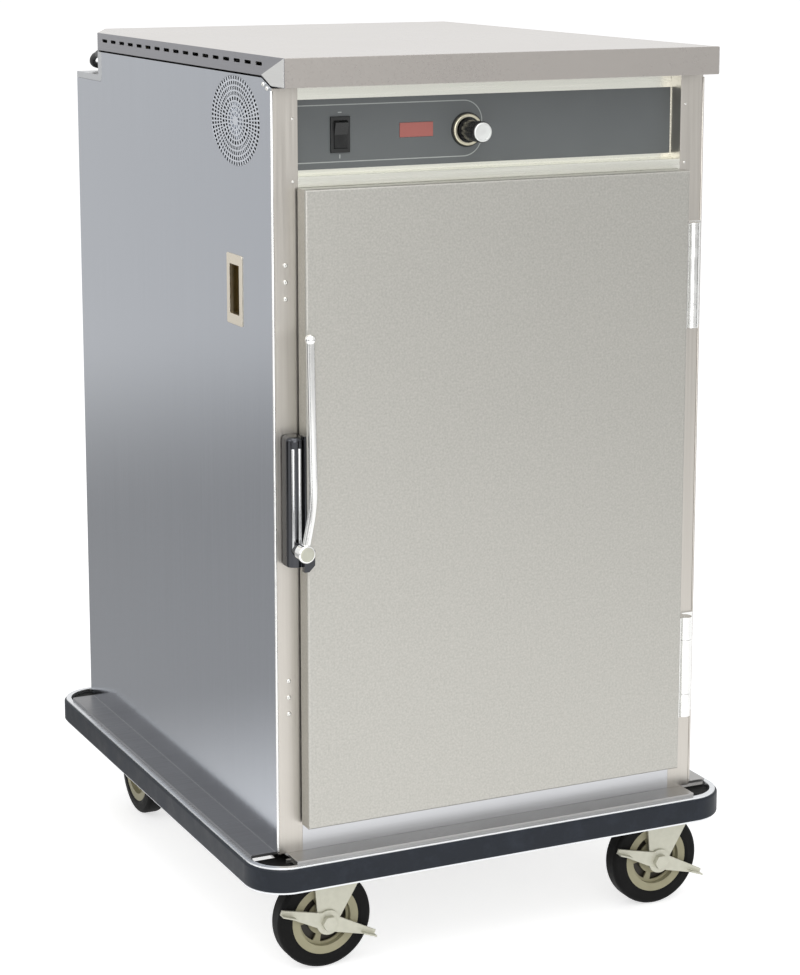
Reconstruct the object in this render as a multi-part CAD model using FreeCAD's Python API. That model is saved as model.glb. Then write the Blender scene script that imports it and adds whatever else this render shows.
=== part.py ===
import FreeCAD, Part
import math
import os

# Heated transport cabinet. Millimetres, +Z up, front towards -Y.
# The origin is on the floor, below the middle of the outer box.

V = FreeCAD.Vector
X_AXIS = V(1, 0, 0)
Y_AXIS = V(0, 1, 0)
Z_AXIS = V(0, 0, 1)

# Body
body_w = 622.0
body_d = 760.0
caster_h = 161.0
base_h = 18.0
sill_h = 38.0
door_h = 830.0
ledge_h = 13.0
control_h = 150.0
step_drop = 61.0
step_d = 98.0
cover_back = 18.0
cover_lip = 14.0
notch_w = 52.0
wall = 50.0
skin = 1.5
liner_t = 1.2

# Clearances
fit = 0.3
running = 0.05
seam = 2.5

# Base frame and bumper
base_t = 4.0
flange_out = 34.0
lip_t = 2.0
lip_h = 28.0
channel_w = 100.0
channel_t = 3.0
channel_inset = 6.0
rail_h = 36.0
rail_t = 2.5
rail_lip = 5.0
strip_proud = 3.0
strip_round = 2.6
bumper_round = 44.0
corner_spare = 2.0

# Casters
wheel_d = 134.0
tyre_w = 32.0
tyre_deep = 19.5
tread_flat = 16.0
tread_drop = 5.0
tread_bulge = 1.25
side_in = 1.0
shoulder = 4.5
rim_w = 29.0
rim_deep = 11.0
web_t = 14.0
web_floor = 2.0
hub_r = 15.0
slot_count = 5
slot_in = 23.0
slot_out = 33.0
slot_turn = 54.0
axle_r = 6.0
axle_head_r = 10.5
axle_head_t = 6.5
stem_inset = 56.0
stem_back = 38.0
rear_inset = 70.0
rear_side = 61.0
trail = 20.0
plate_l = 92.0
plate_w = 72.0
plate_t = 4.0
leg_t = 3.0
leg_room = 3.0
leg_top = 58.0
leg_lean = 7.0
leg_end_r = 13.5
leg_taper = math.radians(18.0)
leg_knee = 18.0
leg_horn = 47.0
leg_horn_up = 52.0
leg_horn_lean = math.radians(36.0)
hub_play = 0.5
crown_t = 4.0
crown_room = 6.5
race_r = 30.0
king_r = 8.0
king_head_r = 12.0
king_head_t = 2.2
pedal_t = 3.0
pedal_r = 17.0
wing_l = 72.0
wing_root = 24.0
wing_tip = 7.0
wing_pad = 9.0
wing_pad_l = 20.0
wing_pad_t = 2.0
wing_up_angle = 20.0
wing_down_angle = 21.0

# Sheet details of the sides, step and cover
side_return = 9.0
vent_back = 123.0
vent_half_y = 82.5
vent_half_z = 57.5
vent_down = 87.5
vent_ring_slots = (10, 18, 30, 30, 60, 60, 60, 60)
vent_ring_first = 0.15
vent_ring_pitch = 0.115
vent_open_along = 0.68
vent_open_across = 0.60
strip_w = 16.0
strip_h = 9.0
strip_corner = 9.0
flange_h = 25.0
visor_out = 38.3
visor_h = 36.4
visor_lip = 8.0
gusset_back = 34.0
slot_l = 22.0
slot_h = 4.6
slot_down = 10.5
slot_pitch = 36.7
slot_first = 42.0
slot_number = 17
pull_w = 52.0
pull_h = 92.0
pull_cup_w = 33.0
pull_cup_h = 65.0
pull_cup_d = 14.0
pull_t = 1.2
pull_round = 3.0
pull_back = 130.0
pull_down = 306.0

# Front frame and controls
stile_w = 34.0
stile_d = 26.0
frame_lap = 20.0
sill_step = 6.0
jamb_step = 4.0
jamb_round = 2.0
recess = 25.0
overlay_t = 0.6
overlay_h = 88.0
overlay_up = 6.0
switch_in = 68.0
switch_up = 49.0
bezel_w = 26.6
bezel_h = 45.5
bezel_t = 3.0
bezel_round = 1.0
switch_w = 23.0
switch_h = 39.6
switch_d = 30.0
rocker_w = 18.0
rocker_r = 17.5
rocker_front = 4.0
rocker_back = 6.0
rocker_sweep = 6.0
rocker_tilt = 16.0
rocker_pin_r = 1.5
rocker_pin_l = 1.5
display_in = 175.0
display_up = 51.3
display_w = 47.0
display_h = 18.3
display_proud = 0.6
module_edge = 3.0
module_d = 20.0
knob_in = 247.5
knob_up = 48.5
dial_r = 20.7
dial_bore = 16.6
dial_t = 5.0
dial_round = 1.7
knob_skirt_r = 15.0
knob_skirt_t = 7.0
knob_r = 13.6
knob_l = 44.0
knob_flutes = 12
flute_r = 1.6
shaft_r = 3.0
shaft_l = 24.0
bush_r = 5.0
stat_w = 44.0
stat_h = 36.0
stat_d = 40.0

# Door, hinges and latch
door_right = 34.5
door_inset = 31.5
door_t = 24.2
door_gap = 4.0
door_sheet = 1.2
door_round = 2.5
gasket_w = 13.0
gasket_inset = 4.5
hinge_h = 142.0
hinge_mid = 77.0
hinge_low = 143.0
hinge_high = 688.0
hinge_out = 12.2
hinge_front = 18.0
barrel_r = 9.6
pin_r = 3.5
leaf_t = 3.0
leaf_w = 27.0
leaf_near = 5.0
door_leaf_t = 2.0
door_leaf_edge = 3.0
hinge_web = 6.0
latch_edge = 8.0
latch_w = 23.0
latch_top_round = 6.0
latch_low = 351.0
latch_h = 168.0
latch_front = 27.0
latch_foot_h = 28.0
latch_foot_reach = 7.0
latch_foot_t = 8.0
latch_foot_drop = 5.0
latch_foot_chamfer = 8.0
strike_t = 2.0
strike_h = 96.0
strike_w = 20.0
strike_low = 36.0
pivot_in = 20.0
pivot_up = 23.0
boss_r = 9.0
boss_front = 40.0
lever_hub_r = 11.5
lever_r = 5.5
lever_mid = 46.5
lever_out = 55.0
lever_lean = 13.0
lever_tip_lean = 9.5
lever_bend = 62.0
lever_h = 272.0
lever_ball_r = 7.0
lever_pin_r = 4.0
lever_cap = 4.0
lever_hub_round = 2.0

# Cavity fittings
upright_d = 27.0
upright_w = 26.0
upright_first = 110.0
upright_rear = 120.0
upright_end = 8.0
slide_count = 8
slide_first = 58.0
slide_pitch = 86.0
slide_ledge = 22.0
slide_leg = 20.0
slide_t = 1.5
slide_end = 20.0
slide_start = 34.0

# Heat and air
blower_r = 68.0
blower_h = 32.0
blower_blades = 12
blade_t = 1.5
blade_l = 25.0
blade_lean = 28.0
disc_t = 2.0
blower_gap = 10.0
blower_hub_r = 12.0
blower_shaft_r = 5.0
motor_r = 45.0
motor_h = 66.0
motor_flange_r = 58.0
motor_flange_t = 3.0
motor_bore = 40.0
shaft_hole_r = 9.0
heater_r = 95.0
heater_tube_r = 4.0
heater_down = 24.0
heater_bend = 12.0
heater_open = 24.0
heater_foot_angle = -90.0
heater_up = 22.0
fan_size = 115.0
fan_t = 25.0
fan_bore_r = 53.5
fan_tip_gap = 1.2
fan_hub_r = 26.0
fan_blades = 7
fan_blade_w = 24.0
fan_blade_t = 2.0
fan_pitch = 35.0
fan_spokes = 4
fan_spoke_w = 6.0
fan_spoke_t = 4.0
fan_shaft_r = 3.0
fan_round = 6.0

# Supply lead, lying on the rear step
cord_d = 9.0
cord_gap = 0.5
arc_share = 0.45
cord_in = 9.0
hank_run = 150.0
hank_fold = 27.0
hank_rows = 3
gland_r = 8.0
gland_flange_t = 3.0
gland_l = 20.0
gland_neck_r = 7.0
gland_tip_r = 5.6
gland_up = 29.0
plug_r = 14.5
plug_l = 34.0
plug_neck_l = 16.0
plug_neck_r = 6.5
plug_tail_r = 5.25
blade_w = 6.3
plug_blade_t = 1.5
plug_blade_l = 16.0
plug_blade_x = 6.35
earth_r = 2.4
earth_l = 19.0
earth_down = 6.0
# Route of the lead, from the gland's flange: right, back, and above the step
lead_points = (
    (0.0, 0.0, 29.0),
    (0.0, 36.0, 29.0),
    (2.0, 62.0, 16.0),
    (16.0, 84.0, 8.0),
    (44.0, 96.0, 5.5),
    (80.0, 98.0, 5.5),
    (112.0, 94.0, 5.5),
    (144.0, 90.25, 5.5),
    (180.0, 90.25, 5.5),
)

# Places worked out from the sizes above
half_w = body_w / 2
body_z = caster_h + base_h
door_z0 = body_z + sill_h
door_z1 = door_z0 + door_h
ledge_z = door_z1 + ledge_h
cover_z = ledge_z + control_h
step_z = cover_z - step_drop
bumper_out = flange_out + rail_t + rail_lip + strip_proud
front_y = (lever_out - body_d - bumper_out) / 2
back_y = front_y + body_d
step_y = back_y - step_d
frame_x = half_w - stile_w
cavity_x = half_w - wall
opening_x = cavity_x - jamb_step
opening_z0 = door_z0 + frame_lap
opening_z1 = door_z1 - frame_lap
cavity_z0 = opening_z0 - sill_step
cavity_z1 = opening_z1 + sill_step
cavity_y0 = front_y + stile_d
cavity_y1 = back_y - wall
motor_z = ledge_z - 2 * skin
side_top = cover_z - flange_h - seam
vent_y = front_y + vent_back
vent_z = cover_z - vent_down
pull_y = front_y + pull_back
pull_z = cover_z - pull_down
door_x0 = door_inset - half_w
door_x1 = half_w - door_right
door_y1 = front_y - door_gap
door_y0 = door_y1 - door_t
fascia_y = front_y + recess
overlay_y = fascia_y - overlay_t
panel_y = fascia_y + skin
switch_x = switch_in - frame_x
switch_z = ledge_z + switch_up
display_x = display_in - frame_x
display_z = ledge_z + display_up
knob_x = knob_in - frame_x
knob_z = ledge_z + knob_up
hinge_x = door_x1 + hinge_out
hinge_y = front_y - hinge_front
latch_z = door_z0 + latch_low
lever_x = pivot_in - half_w
pivot_z = latch_z + pivot_up
stem_x = half_w - stem_inset
stem_y = front_y + stem_back
rear_x = half_w - rear_side
rear_y = back_y - rear_inset
wheel_r = wheel_d / 2
rim_r = wheel_r - tyre_deep
leg_in = tyre_w / 2 + leg_room
leg_out = leg_in + leg_t
plate_z = caster_h - plate_t
crown_z = wheel_d + crown_room


def block(x0, x1, y0, y1, z0, z1):
    return Part.makeBox(x1 - x0, y1 - y0, z1 - z0, V(x0, y0, z0))


# Block along Y about a middle in X and Z
def block_y(x, z, w, h, y0, y1):
    return block(x - w / 2, x + w / 2, y0, y1, z - h / 2, z + h / 2)


def prism(points, push):
    return Part.Face(Part.makePolygon(points + points[:1])).extrude(push)


def prism_x(yz, x0, x1):
    return prism([V(x0, y, z) for y, z in yz], V(x1 - x0, 0, 0))


def prism_y(xz, y0, y1):
    return prism([V(x, y0, z) for x, z in xz], V(0, y1 - y0, 0))


def rod_x(r, x0, x1, y, z):
    return Part.makeCylinder(r, x1 - x0, V(x0, y, z), X_AXIS)


def rod_y(r, y0, y1, x, z):
    return Part.makeCylinder(r, y1 - y0, V(x, y0, z), Y_AXIS)


def rod_z(r, z0, z1, x, y):
    return Part.makeCylinder(r, z1 - z0, V(x, y, z0), Z_AXIS)


def edges_along(solid, axis):
    return [e for e in solid.Edges if abs(e.tangentAt(e.FirstParameter).dot(axis)) > 0.999]


def soft_block(x0, x1, y0, y1, z0, z1, r, axis):
    solid = block(x0, x1, y0, y1, z0, z1)
    return solid.makeFillet(r, edges_along(solid, axis))


def oval_x(x0, x1, y, z, half_y, half_z):
    return Part.Face(oval_wire(x0, y, z, half_y, half_z)).extrude(V(x1 - x0, 0, 0))


def oval_wire(x, y, z, half_y, half_z):
    centre = V(x, y, z)
    curve = Part.Ellipse(V(x, y + half_y, z), V(x, y, z + half_z), centre)
    return Part.Wire(curve.toShape())


def mirrored(shape):
    return shape.mirror(V(0, 0, 0), X_AXIS)


def turned(shape, axis, degrees, at=V(0, 0, 0)):
    copy = shape.copy()
    copy.rotate(at, axis, degrees)
    return copy


def moved(shape, x, y, z):
    copy = shape.copy()
    copy.translate(V(x, y, z))
    return copy


def joined(first, *rest):
    return first.multiFuse(list(rest)).removeSplitter()


def save(name, *solids):
    shape = solids[0] if len(solids) == 1 else Part.makeCompound(list(solids))
    shape.exportStep("parts/" + name + ".step")
    print(name, len(shape.Solids), "solids", round(shape.Volume / 1000, 2), "cm3", shape.isValid())


# Base frame: plate with open corners, turned-down lips and two cross channels
def base_frame():
    top = body_z - base_t
    reach_x = half_w + flange_out
    y0 = front_y - flange_out
    y1 = back_y + flange_out
    cut = bumper_round + corner_spare
    frame = block(-reach_x, reach_x, y0, y1, top, body_z)
    low = top - lip_h
    lips = [
        block(-reach_x + cut, reach_x - cut, y0, y0 + lip_t, low, top),
        block(-reach_x + cut, reach_x - cut, y1 - lip_t, y1, low, top),
        block(-reach_x, -reach_x + lip_t, y0 + cut, y1 - cut, low, top),
        block(reach_x - lip_t, reach_x, y0 + cut, y1 - cut, low, top),
    ]
    channels = []
    end_x = half_w - channel_inset
    for y in (stem_y, rear_y):
        a = y - channel_w / 2
        b = y + channel_w / 2
        tunnel = block(-half_w, half_w, a + channel_t, b - channel_t, caster_h + channel_t, top)
        channels.append(block(-end_x, end_x, a, b, caster_h, top).cut(tunnel))
    corners = []
    for x in (-reach_x, reach_x - cut):
        for y in (y0, y1 - cut):
            corners.append(block(x, x + cut, y, y + cut, top, body_z))
    return joined(frame.cut(corners), *lips, *channels)


def bumper_loop(out, z0, z1):
    corner = bumper_round + out - flange_out
    return soft_block(-half_w - out, half_w + out, front_y - out, back_y + out, z0, z1, corner, Z_AXIS)


def bumper():
    z1 = body_z - base_t
    z0 = z1 - rail_h
    groove_z0 = z0 + rail_t
    groove_z1 = z1 - rail_t
    web_out = flange_out + rail_t
    groove = bumper_loop(bumper_out, groove_z0, groove_z1).cut(bumper_loop(web_out, groove_z0, groove_z1))
    rail = bumper_loop(web_out + rail_lip, z0, z1).cut(bumper_loop(flange_out, z0, z1)).cut(groove)
    outer = bumper_loop(bumper_out, groove_z0, groove_z1)
    rims = [e for e in outer.Edges if e.BoundBox.ZLength < 0.001]
    strip = outer.makeFillet(strip_round, rims).cut(bumper_loop(web_out, groove_z0, groove_z1))
    return rail, strip


# Wheels are made on the Y axis at the origin, then turned and moved to their axles
def wheel_hub():
    half = leg_in - hub_play
    rim_in = rim_r - rim_deep
    rim_side = rim_w / 2
    rim = rod_y(rim_r, -rim_side, rim_side, 0, 0).cut(rod_y(rim_in, -rim_side, rim_side, 0, 0))
    web = rod_y(rim_in, -web_t / 2, web_t / 2, 0, 0)
    solid = joined(rim, web, rod_y(hub_r, -half, half, 0, 0))
    wedge_reach = 2 * slot_out
    wedge_half = wedge_reach * math.tan(math.radians(slot_turn / 2))
    wedge = prism_y([(0, 0), (wedge_reach, -wedge_half), (wedge_reach, wedge_half)], -half, half)
    pockets = []
    for y0, y1 in ((-half, -web_floor / 2), (web_floor / 2, half)):
        ring = rod_y(slot_out, y0, y1, 0, 0).cut(rod_y(slot_in, y0, y1, 0, 0))
        for i in range(slot_count):
            pockets.append(ring.common(turned(wedge, Y_AXIS, 360 * i / slot_count)))
    return solid.cut(pockets).cut(rod_y(axle_r + running, -half, half, 0, 0))


def wheel_tyre():
    flat = tread_flat / 2
    side = tyre_w / 2
    rim_side = rim_w / 2
    mid_r = wheel_r - tread_drop
    points = [
        V(rim_r, -rim_side, 0),
        V(rim_r + shoulder, -side, 0),
        V(mid_r, side_in - side, 0),
        V(wheel_r, -flat, 0),
        V(wheel_r, flat, 0),
        V(mid_r, side - side_in, 0),
        V(rim_r + shoulder, side, 0),
        V(rim_r, rim_side, 0),
    ]
    edges = []
    for i, (a, b) in enumerate(zip(points, points[1:] + points[:1])):
        if i in (2, 4):
            out = V(b.x - a.x, b.y - a.y, 0).cross(Z_AXIS).normalize()
            middle = (a + b) * 0.5 + out * tread_bulge
            edges.append(Part.Arc(a, middle, b).toShape())
        else:
            edges.append(Part.LineSegment(a, b).toShape())
    return Part.Face(Part.Wire(edges)).revolve(V(0, 0, 0), Y_AXIS, 360)


def hexagon_y(r, y0, y1):
    corners = [(r * math.cos(math.radians(60 * i)), r * math.sin(math.radians(60 * i))) for i in range(6)]
    return prism_y(corners, y0, y1)


# Axle bolt with a head in front and a nut behind
def axle_bolt(front):
    bolt = rod_y(axle_r, -front, leg_out, 0, 0)
    head = hexagon_y(axle_head_r, -front - axle_head_t, -front)
    nut = hexagon_y(axle_head_r, leg_out, leg_out + axle_head_t)
    return joined(bolt, head, nut)


# Point where a leg's leaning edge meets its round end
def leg_touch(lean, side):
    return (side * leg_end_r * math.cos(lean), -leg_end_r * math.sin(lean))


# Fork legs narrow to a round end at the axle
def fork_legs(points):
    legs = []
    for y0, y1 in ((-leg_out, -leg_in), (leg_in, leg_out)):
        leg = joined(prism_y(points, y0, y1), rod_y(leg_end_r, y0, y1, 0, 0))
        legs.append(leg.cut(rod_y(axle_r, y0, y1, 0, 0)))
    return legs


# Front swivel fork with a horn on its legs; the axle is at the origin and the stem at -trail
def swivel_fork():
    z0 = crown_z - wheel_r
    z1 = z0 + crown_t
    top = plate_z - fit - wheel_r
    middle = leg_lean - trail
    points = [
        (middle - leg_top / 2, z1),
        (middle + leg_top / 2, z1),
        (leg_horn, leg_horn_up),
        leg_touch(leg_horn_lean, 1),
        (-leg_end_r, 0),
        (-leg_knee, leg_horn_up),
    ]
    crown = block(middle - leg_top / 2, middle + leg_top / 2, -leg_out, leg_out, z0, z1)
    race = rod_z(race_r, z1, top, -trail, 0)
    bore = rod_z(king_r + running, z0, top, -trail, 0)
    return joined(crown, race, *fork_legs(points)).cut(bore)


# Top plate with its king pin, at the stem
def swivel_plate(x):
    half_y = plate_w / 2
    plate = block(x - plate_l / 2, x + plate_l / 2, stem_y - half_y, stem_y + half_y, plate_z, caster_h)
    head_z = crown_z - fit
    pin = rod_z(king_r, head_z, plate_z, x, stem_y)
    head = rod_z(king_head_r, head_z - king_head_t, head_z, x, stem_y)
    return joined(plate, pin, head)


def rear_fork():
    top = plate_z - wheel_r
    plate = block(-plate_l / 2, plate_l / 2, -plate_w / 2, plate_w / 2, top, top + plate_t)
    points = [(-leg_top / 2, top), (leg_top / 2, top), leg_touch(leg_taper, 1), leg_touch(leg_taper, -1)]
    return joined(plate, *fork_legs(points))


# Brake pedal: a plate on the axle with two wings that end in foot pads
def brake_pedal():
    y1 = -leg_out - fit
    y0 = y1 - pedal_t
    root = wing_root / 2
    tip = wing_tip / 2
    wing = prism_y([(0, -root), (wing_l, -tip), (wing_l, tip), (0, root)], y0, y1)
    pad = block(wing_l - wing_pad_l, wing_l, y0 - wing_pad, y1, -tip, wing_pad_t - tip)
    blade = joined(wing, pad)
    flipped = blade.mirror(V(0, 0, 0), X_AXIS)
    right = turned(blade, Y_AXIS, wing_down_angle)
    left = turned(flipped, Y_AXIS, wing_up_angle)
    plate = joined(rod_y(pedal_r, y0, y1, 0, 0), left, right)
    return plate.cut(rod_y(axle_r + running, y0, y1, 0, 0))


def casters():
    hub = wheel_hub()
    tyre = wheel_tyre()
    pedal = brake_pedal()
    fork = swivel_fork()
    bolt = axle_bolt(leg_out + pedal_t + 2 * fit)
    save("caster_plates", swivel_plate(-stem_x), swivel_plate(stem_x))
    for side, x in (("left", -stem_x), ("right", stem_x)):
        place = (x + trail, stem_y, wheel_r)
        save("front_fork_" + side, moved(fork, *place))
        save("front_axle_" + side, moved(bolt, *place))
        save("front_hub_" + side, moved(hub, *place))
        save("front_tyre_" + side, moved(tyre, *place))
        save("brake_pedal_" + side, moved(pedal, *place))
    forks = []
    for side, x in (("left", -rear_x), ("right", rear_x)):
        for piece in (rear_fork(), axle_bolt(leg_out)):
            forks.append(moved(turned(piece, Z_AXIS, 90), x, rear_y, wheel_r))
        save("rear_hub_" + side, moved(turned(hub, Z_AXIS, 90), x, rear_y, wheel_r))
        save("rear_tyre_" + side, moved(turned(tyre, Z_AXIS, 90), x, rear_y, wheel_r))
    save("rear_forks", *forks)


# Side panel: one sheet folded in along its top, with a mitred front corner and a pull cut-out
def side_panel(is_left):
    x0 = -half_w
    x1 = skin - half_w
    notch_y = step_y - strip_w - fit
    notch_z = step_z - strip_h - fit
    outline = [
        (front_y + skin, body_z),
        (back_y, body_z),
        (back_y, side_top),
        (front_y + gusset_back, side_top),
        (front_y + skin, side_top - visor_h + flange_h),
    ]
    top_return = block(x0, x0 + side_return, front_y + gusset_back, notch_y, side_top - skin, side_top)
    panel = joined(prism_x(outline, x0, x1), top_return).cut(pull_block(x0, x1, pull_t + fit))
    if is_left:
        notch = block(x0, x1, notch_y, back_y, notch_z, side_top)
        inner = [e for e in edges_along(notch, X_AXIS) if at_yz(e, notch_y, notch_z)]
        vent = oval_x(x0, x1, vent_y, vent_z, vent_half_y + fit, vent_half_z + fit)
        panel = panel.cut([notch.makeFillet(strip_corner + fit, inner), vent])
    return panel


# Block round the cup of the flush pull, larger by a margin
def pull_block(x0, x1, margin):
    half_y = pull_cup_w / 2 + margin
    half_z = pull_cup_h / 2 + margin
    return block(x0, x1, pull_y - half_y, pull_y + half_y, pull_z - half_z, pull_z + half_z)


def at_yz(edge, y, z):
    point = edge.CenterOfMass
    return abs(point.y - y) < 0.01 and abs(point.z - z) < 0.01


# Vent grille: rings of small holes on an oval, each as wide as its ring leaves room for
def vent_point(reach, angle):
    y = vent_y + reach * vent_half_y * math.cos(angle)
    return V(-half_w, y, vent_z + reach * vent_half_z * math.sin(angle))


def vent_grille():
    wires = [oval_wire(-half_w, vent_y, vent_z, vent_half_y, vent_half_z)]
    along = vent_ring_pitch * vent_open_along / 2
    for ring, count in enumerate(vent_ring_slots):
        reach = vent_ring_first + ring * vent_ring_pitch
        turn = 2 * math.pi / count
        across = turn * vent_open_across / 2
        for i in range(count):
            angle = turn * (i + 0.5)
            corners = [
                vent_point(reach - along, angle - across),
                vent_point(reach + along, angle - across),
                vent_point(reach + along, angle + across),
                vent_point(reach - along, angle + across),
            ]
            wires.append(Part.makePolygon(corners + corners[:1]))
    return Part.makeFace(wires, "Part::FaceMakerBullseye").extrude(V(skin, 0, 0))


# Cord bay: front wall, shelf, rear lip and the return round the notch from one sheet
def rear_step():
    in_x = half_w - skin
    upper = block(-in_x, in_x, step_y - skin, step_y, step_z - skin, cover_z - skin)
    shelf = block(-in_x, in_x, step_y - skin, back_y, step_z - skin, step_z)
    lip = block(-in_x, in_x, back_y - skin, back_y, step_z - strip_h, step_z - skin)
    low = step_z - strip_h
    outline = [
        (step_y - strip_w, low),
        (back_y, low),
        (back_y, step_z),
        (step_y, step_z),
        (step_y, side_top),
        (step_y - strip_w, side_top),
    ]
    side = prism_x(outline, -half_w, -in_x)
    corner = [e for e in edges_along(side, X_AXIS) if at_yz(e, step_y - strip_w, low)]
    side = side.makeFillet(strip_corner, corner)
    hole_x = -half_w + cord_in
    gland_hole = rod_y(gland_tip_r, step_y - skin, step_y, hole_x, step_z + gland_up)
    return joined(upper.cut(gland_hole), shelf, lip, side)


# Side flange of the cover, mitred into the visor, with a row of slots
def cover_flange(end_y):
    y0 = front_y - visor_out
    outline = [
        (end_y, cover_z - skin),
        (end_y, cover_z - flange_h),
        (front_y + gusset_back, cover_z - flange_h),
        (front_y, cover_z - visor_h),
        (y0, cover_z - visor_h),
        (y0, cover_z - skin),
    ]
    flange = prism_x(outline, -half_w, skin - half_w)
    slots = []
    z0 = cover_z - slot_down - slot_h / 2
    for i in range(slot_number):
        y = front_y + slot_first + i * slot_pitch
        sides = (-half_w, skin - half_w, y - slot_l / 2, y + slot_l / 2, z0, z0 + slot_h)
        slots.append(soft_block(*sides, slot_h / 2 - running, X_AXIS))
    return flange.cut(slots)


# Top cover: one sheet with a visor in front and a roof over the cord bay, its left corner cut off aslant
def top_cover():
    y0 = front_y - visor_out
    y1 = back_y + cover_back
    notch_x = notch_w - half_w
    outline = [(-half_w, y0), (half_w, y0), (half_w, y1), (notch_x, y1), (-half_w, step_y)]
    top = prism([V(x, y, cover_z - skin) for x, y in outline], V(0, 0, skin))
    visor = block(-half_w, half_w, y0, y0 + skin, cover_z - visor_h, cover_z - skin)
    lip = block(-half_w, half_w, y0, y0 + visor_lip, cover_z - visor_h, cover_z - visor_h + skin)
    rear_lip = block(notch_x, half_w, y1 - skin, y1, cover_z - cover_lip, cover_z - skin)
    return joined(top, visor, lip, rear_lip, cover_flange(step_y), mirrored(cover_flange(y1)))


# Front stile: face sheet with a deep return beside the opening
def front_stile():
    top = cover_z - visor_h - seam
    face = block(-half_w, -frame_x, front_y, front_y + skin, body_z, top)
    inner = block(-frame_x - skin, -frame_x, front_y, front_y + stile_d, body_z, top)
    return joined(face, inner)


def header_rail():
    face = block(-frame_x, frame_x, front_y, front_y + skin, opening_z1, ledge_z)
    ledge = block(-frame_x, frame_x, front_y, front_y + recess + skin, ledge_z - skin, ledge_z)
    lower = block(-frame_x, frame_x, front_y, front_y + stile_d, opening_z1, opening_z1 + skin)
    return joined(face, ledge, lower)


def bottom_rail():
    face = block(-frame_x, frame_x, front_y, front_y + skin, body_z, opening_z0)
    upper = block(-frame_x, frame_x, front_y, front_y + stile_d, opening_z0 - skin, opening_z0)
    foot = block(-frame_x, frame_x, front_y, front_y + stile_d, body_z, body_z + skin)
    return joined(face, upper, foot)


# Jamb strip between stile and opening, rounded where pans pass
def jamb_strip():
    bar = block(-frame_x, -opening_x, front_y, front_y + stile_d, opening_z0, opening_z1)
    nose = [e for e in edges_along(bar, Z_AXIS) if e.CenterOfMass.x > -frame_x + jamb_round]
    return bar.makeFillet(jamb_round, nose)


def flush_pull():
    x = -half_w
    half_y = pull_w / 2
    half_z = pull_h / 2
    outer = (pull_y - half_y, pull_y + half_y, pull_z - half_z, pull_z + half_z)
    plate = soft_block(x - pull_t, x, *outer, pull_round, X_AXIS)
    cup = pull_block(x, x + pull_cup_d, pull_t)
    pocket = pull_block(x - pull_t, x + pull_cup_d - pull_t, 0.0)
    return joined(plate, cup).cut(pocket)


def blower_place():
    return 0.0, (cavity_y0 + cavity_y1) / 2


# Insulation blocks fill the walls between skin and liner
def wall_insulation():
    out_x = half_w - skin - fit
    in_x = cavity_x + liner_t
    y0 = front_y + stile_d + fit
    y1 = back_y - skin - fit
    z1 = motor_z
    pocket = pull_block(-half_w, pull_cup_d + fit - half_w, pull_t + fit)
    left = block(-out_x, -in_x, y0, y1, body_z, z1).cut(pocket)
    liner_y = cavity_y1 + liner_t
    back = block(-in_x, in_x, liner_y, y1, body_z, z1)
    bottom = block(-in_x, in_x, y0, liner_y, body_z, cavity_z0 - liner_t)
    top = block(-in_x, in_x, y0, liner_y, cavity_z1 + liner_t, z1)
    return left, mirrored(left), back, bottom, top.cut(ceiling_holes(fit))


# Holes in the cavity ceiling for the blower shaft and the heater legs
def ceiling_holes(room):
    x, y = blower_place()
    z0 = cavity_z1
    z1 = ledge_z
    holes = [rod_z(shaft_hole_r, z0, z1, x, y)]
    for foot_x, foot_y in heater_feet():
        holes.append(rod_z(heater_tube_r + room, z0, z1, foot_x, foot_y))
    return holes


def cavity_liner():
    out_x = cavity_x + liner_t
    left = block(-out_x, -cavity_x, cavity_y0, cavity_y1, cavity_z0, cavity_z1)
    back = block(-out_x, out_x, cavity_y1, cavity_y1 + liner_t, cavity_z0, cavity_z1)
    floor = block(-out_x, out_x, cavity_y0, cavity_y1 + liner_t, cavity_z0 - liner_t, cavity_z0)
    ceiling = block(-out_x, out_x, cavity_y0, cavity_y1 + liner_t, cavity_z1, cavity_z1 + liner_t)
    return left, mirrored(left), back, floor, ceiling.cut(ceiling_holes(0.0))


# Pan slides: angles with the ledge on top, carried by two channel uprights a side
def pan_slides():
    solids = []
    face_x = cavity_x - upright_d
    foot_z = cavity_z0 + upright_end
    top_z = opening_z1 - upright_end
    for y in (front_y + upright_first, cavity_y1 - upright_rear):
        bar = block(-cavity_x, -face_x, y, y + upright_w, foot_z, top_z)
        hollow = block(-cavity_x, -face_x - slide_t, y + slide_t, y + upright_w - slide_t, foot_z, top_z)
        solids.append(bar.cut(hollow))
    y0 = cavity_y0 + slide_start
    y1 = cavity_y1 - slide_end
    for i in range(slide_count):
        z = cavity_z0 + slide_first + i * slide_pitch
        leg = block(-face_x, -face_x + slide_t, y0, y1, z - slide_leg, z)
        ledge = block(-face_x, -face_x + slide_ledge, y0, y1, z - slide_t, z)
        solids.append(joined(leg, ledge))
    return solids + [mirrored(s) for s in solids]


# Heater: an open ring under the ceiling with two legs bent up through it
def heater_frame(start_degrees):
    x, y = blower_place()
    angle = math.radians(start_degrees)
    out = V(math.cos(angle), math.sin(angle), 0)
    along = V(-out.y, out.x, 0)
    point = V(x, y, cavity_z1 - heater_down) + out * heater_r
    return point, along


def heater_feet():
    feet = []
    for degrees, sign in ((heater_foot_angle + heater_open, -1), (heater_foot_angle - heater_open, 1)):
        point, along = heater_frame(degrees)
        foot = point + along * (sign * heater_bend)
        feet.append((foot.x, foot.y))
    return feet


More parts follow.
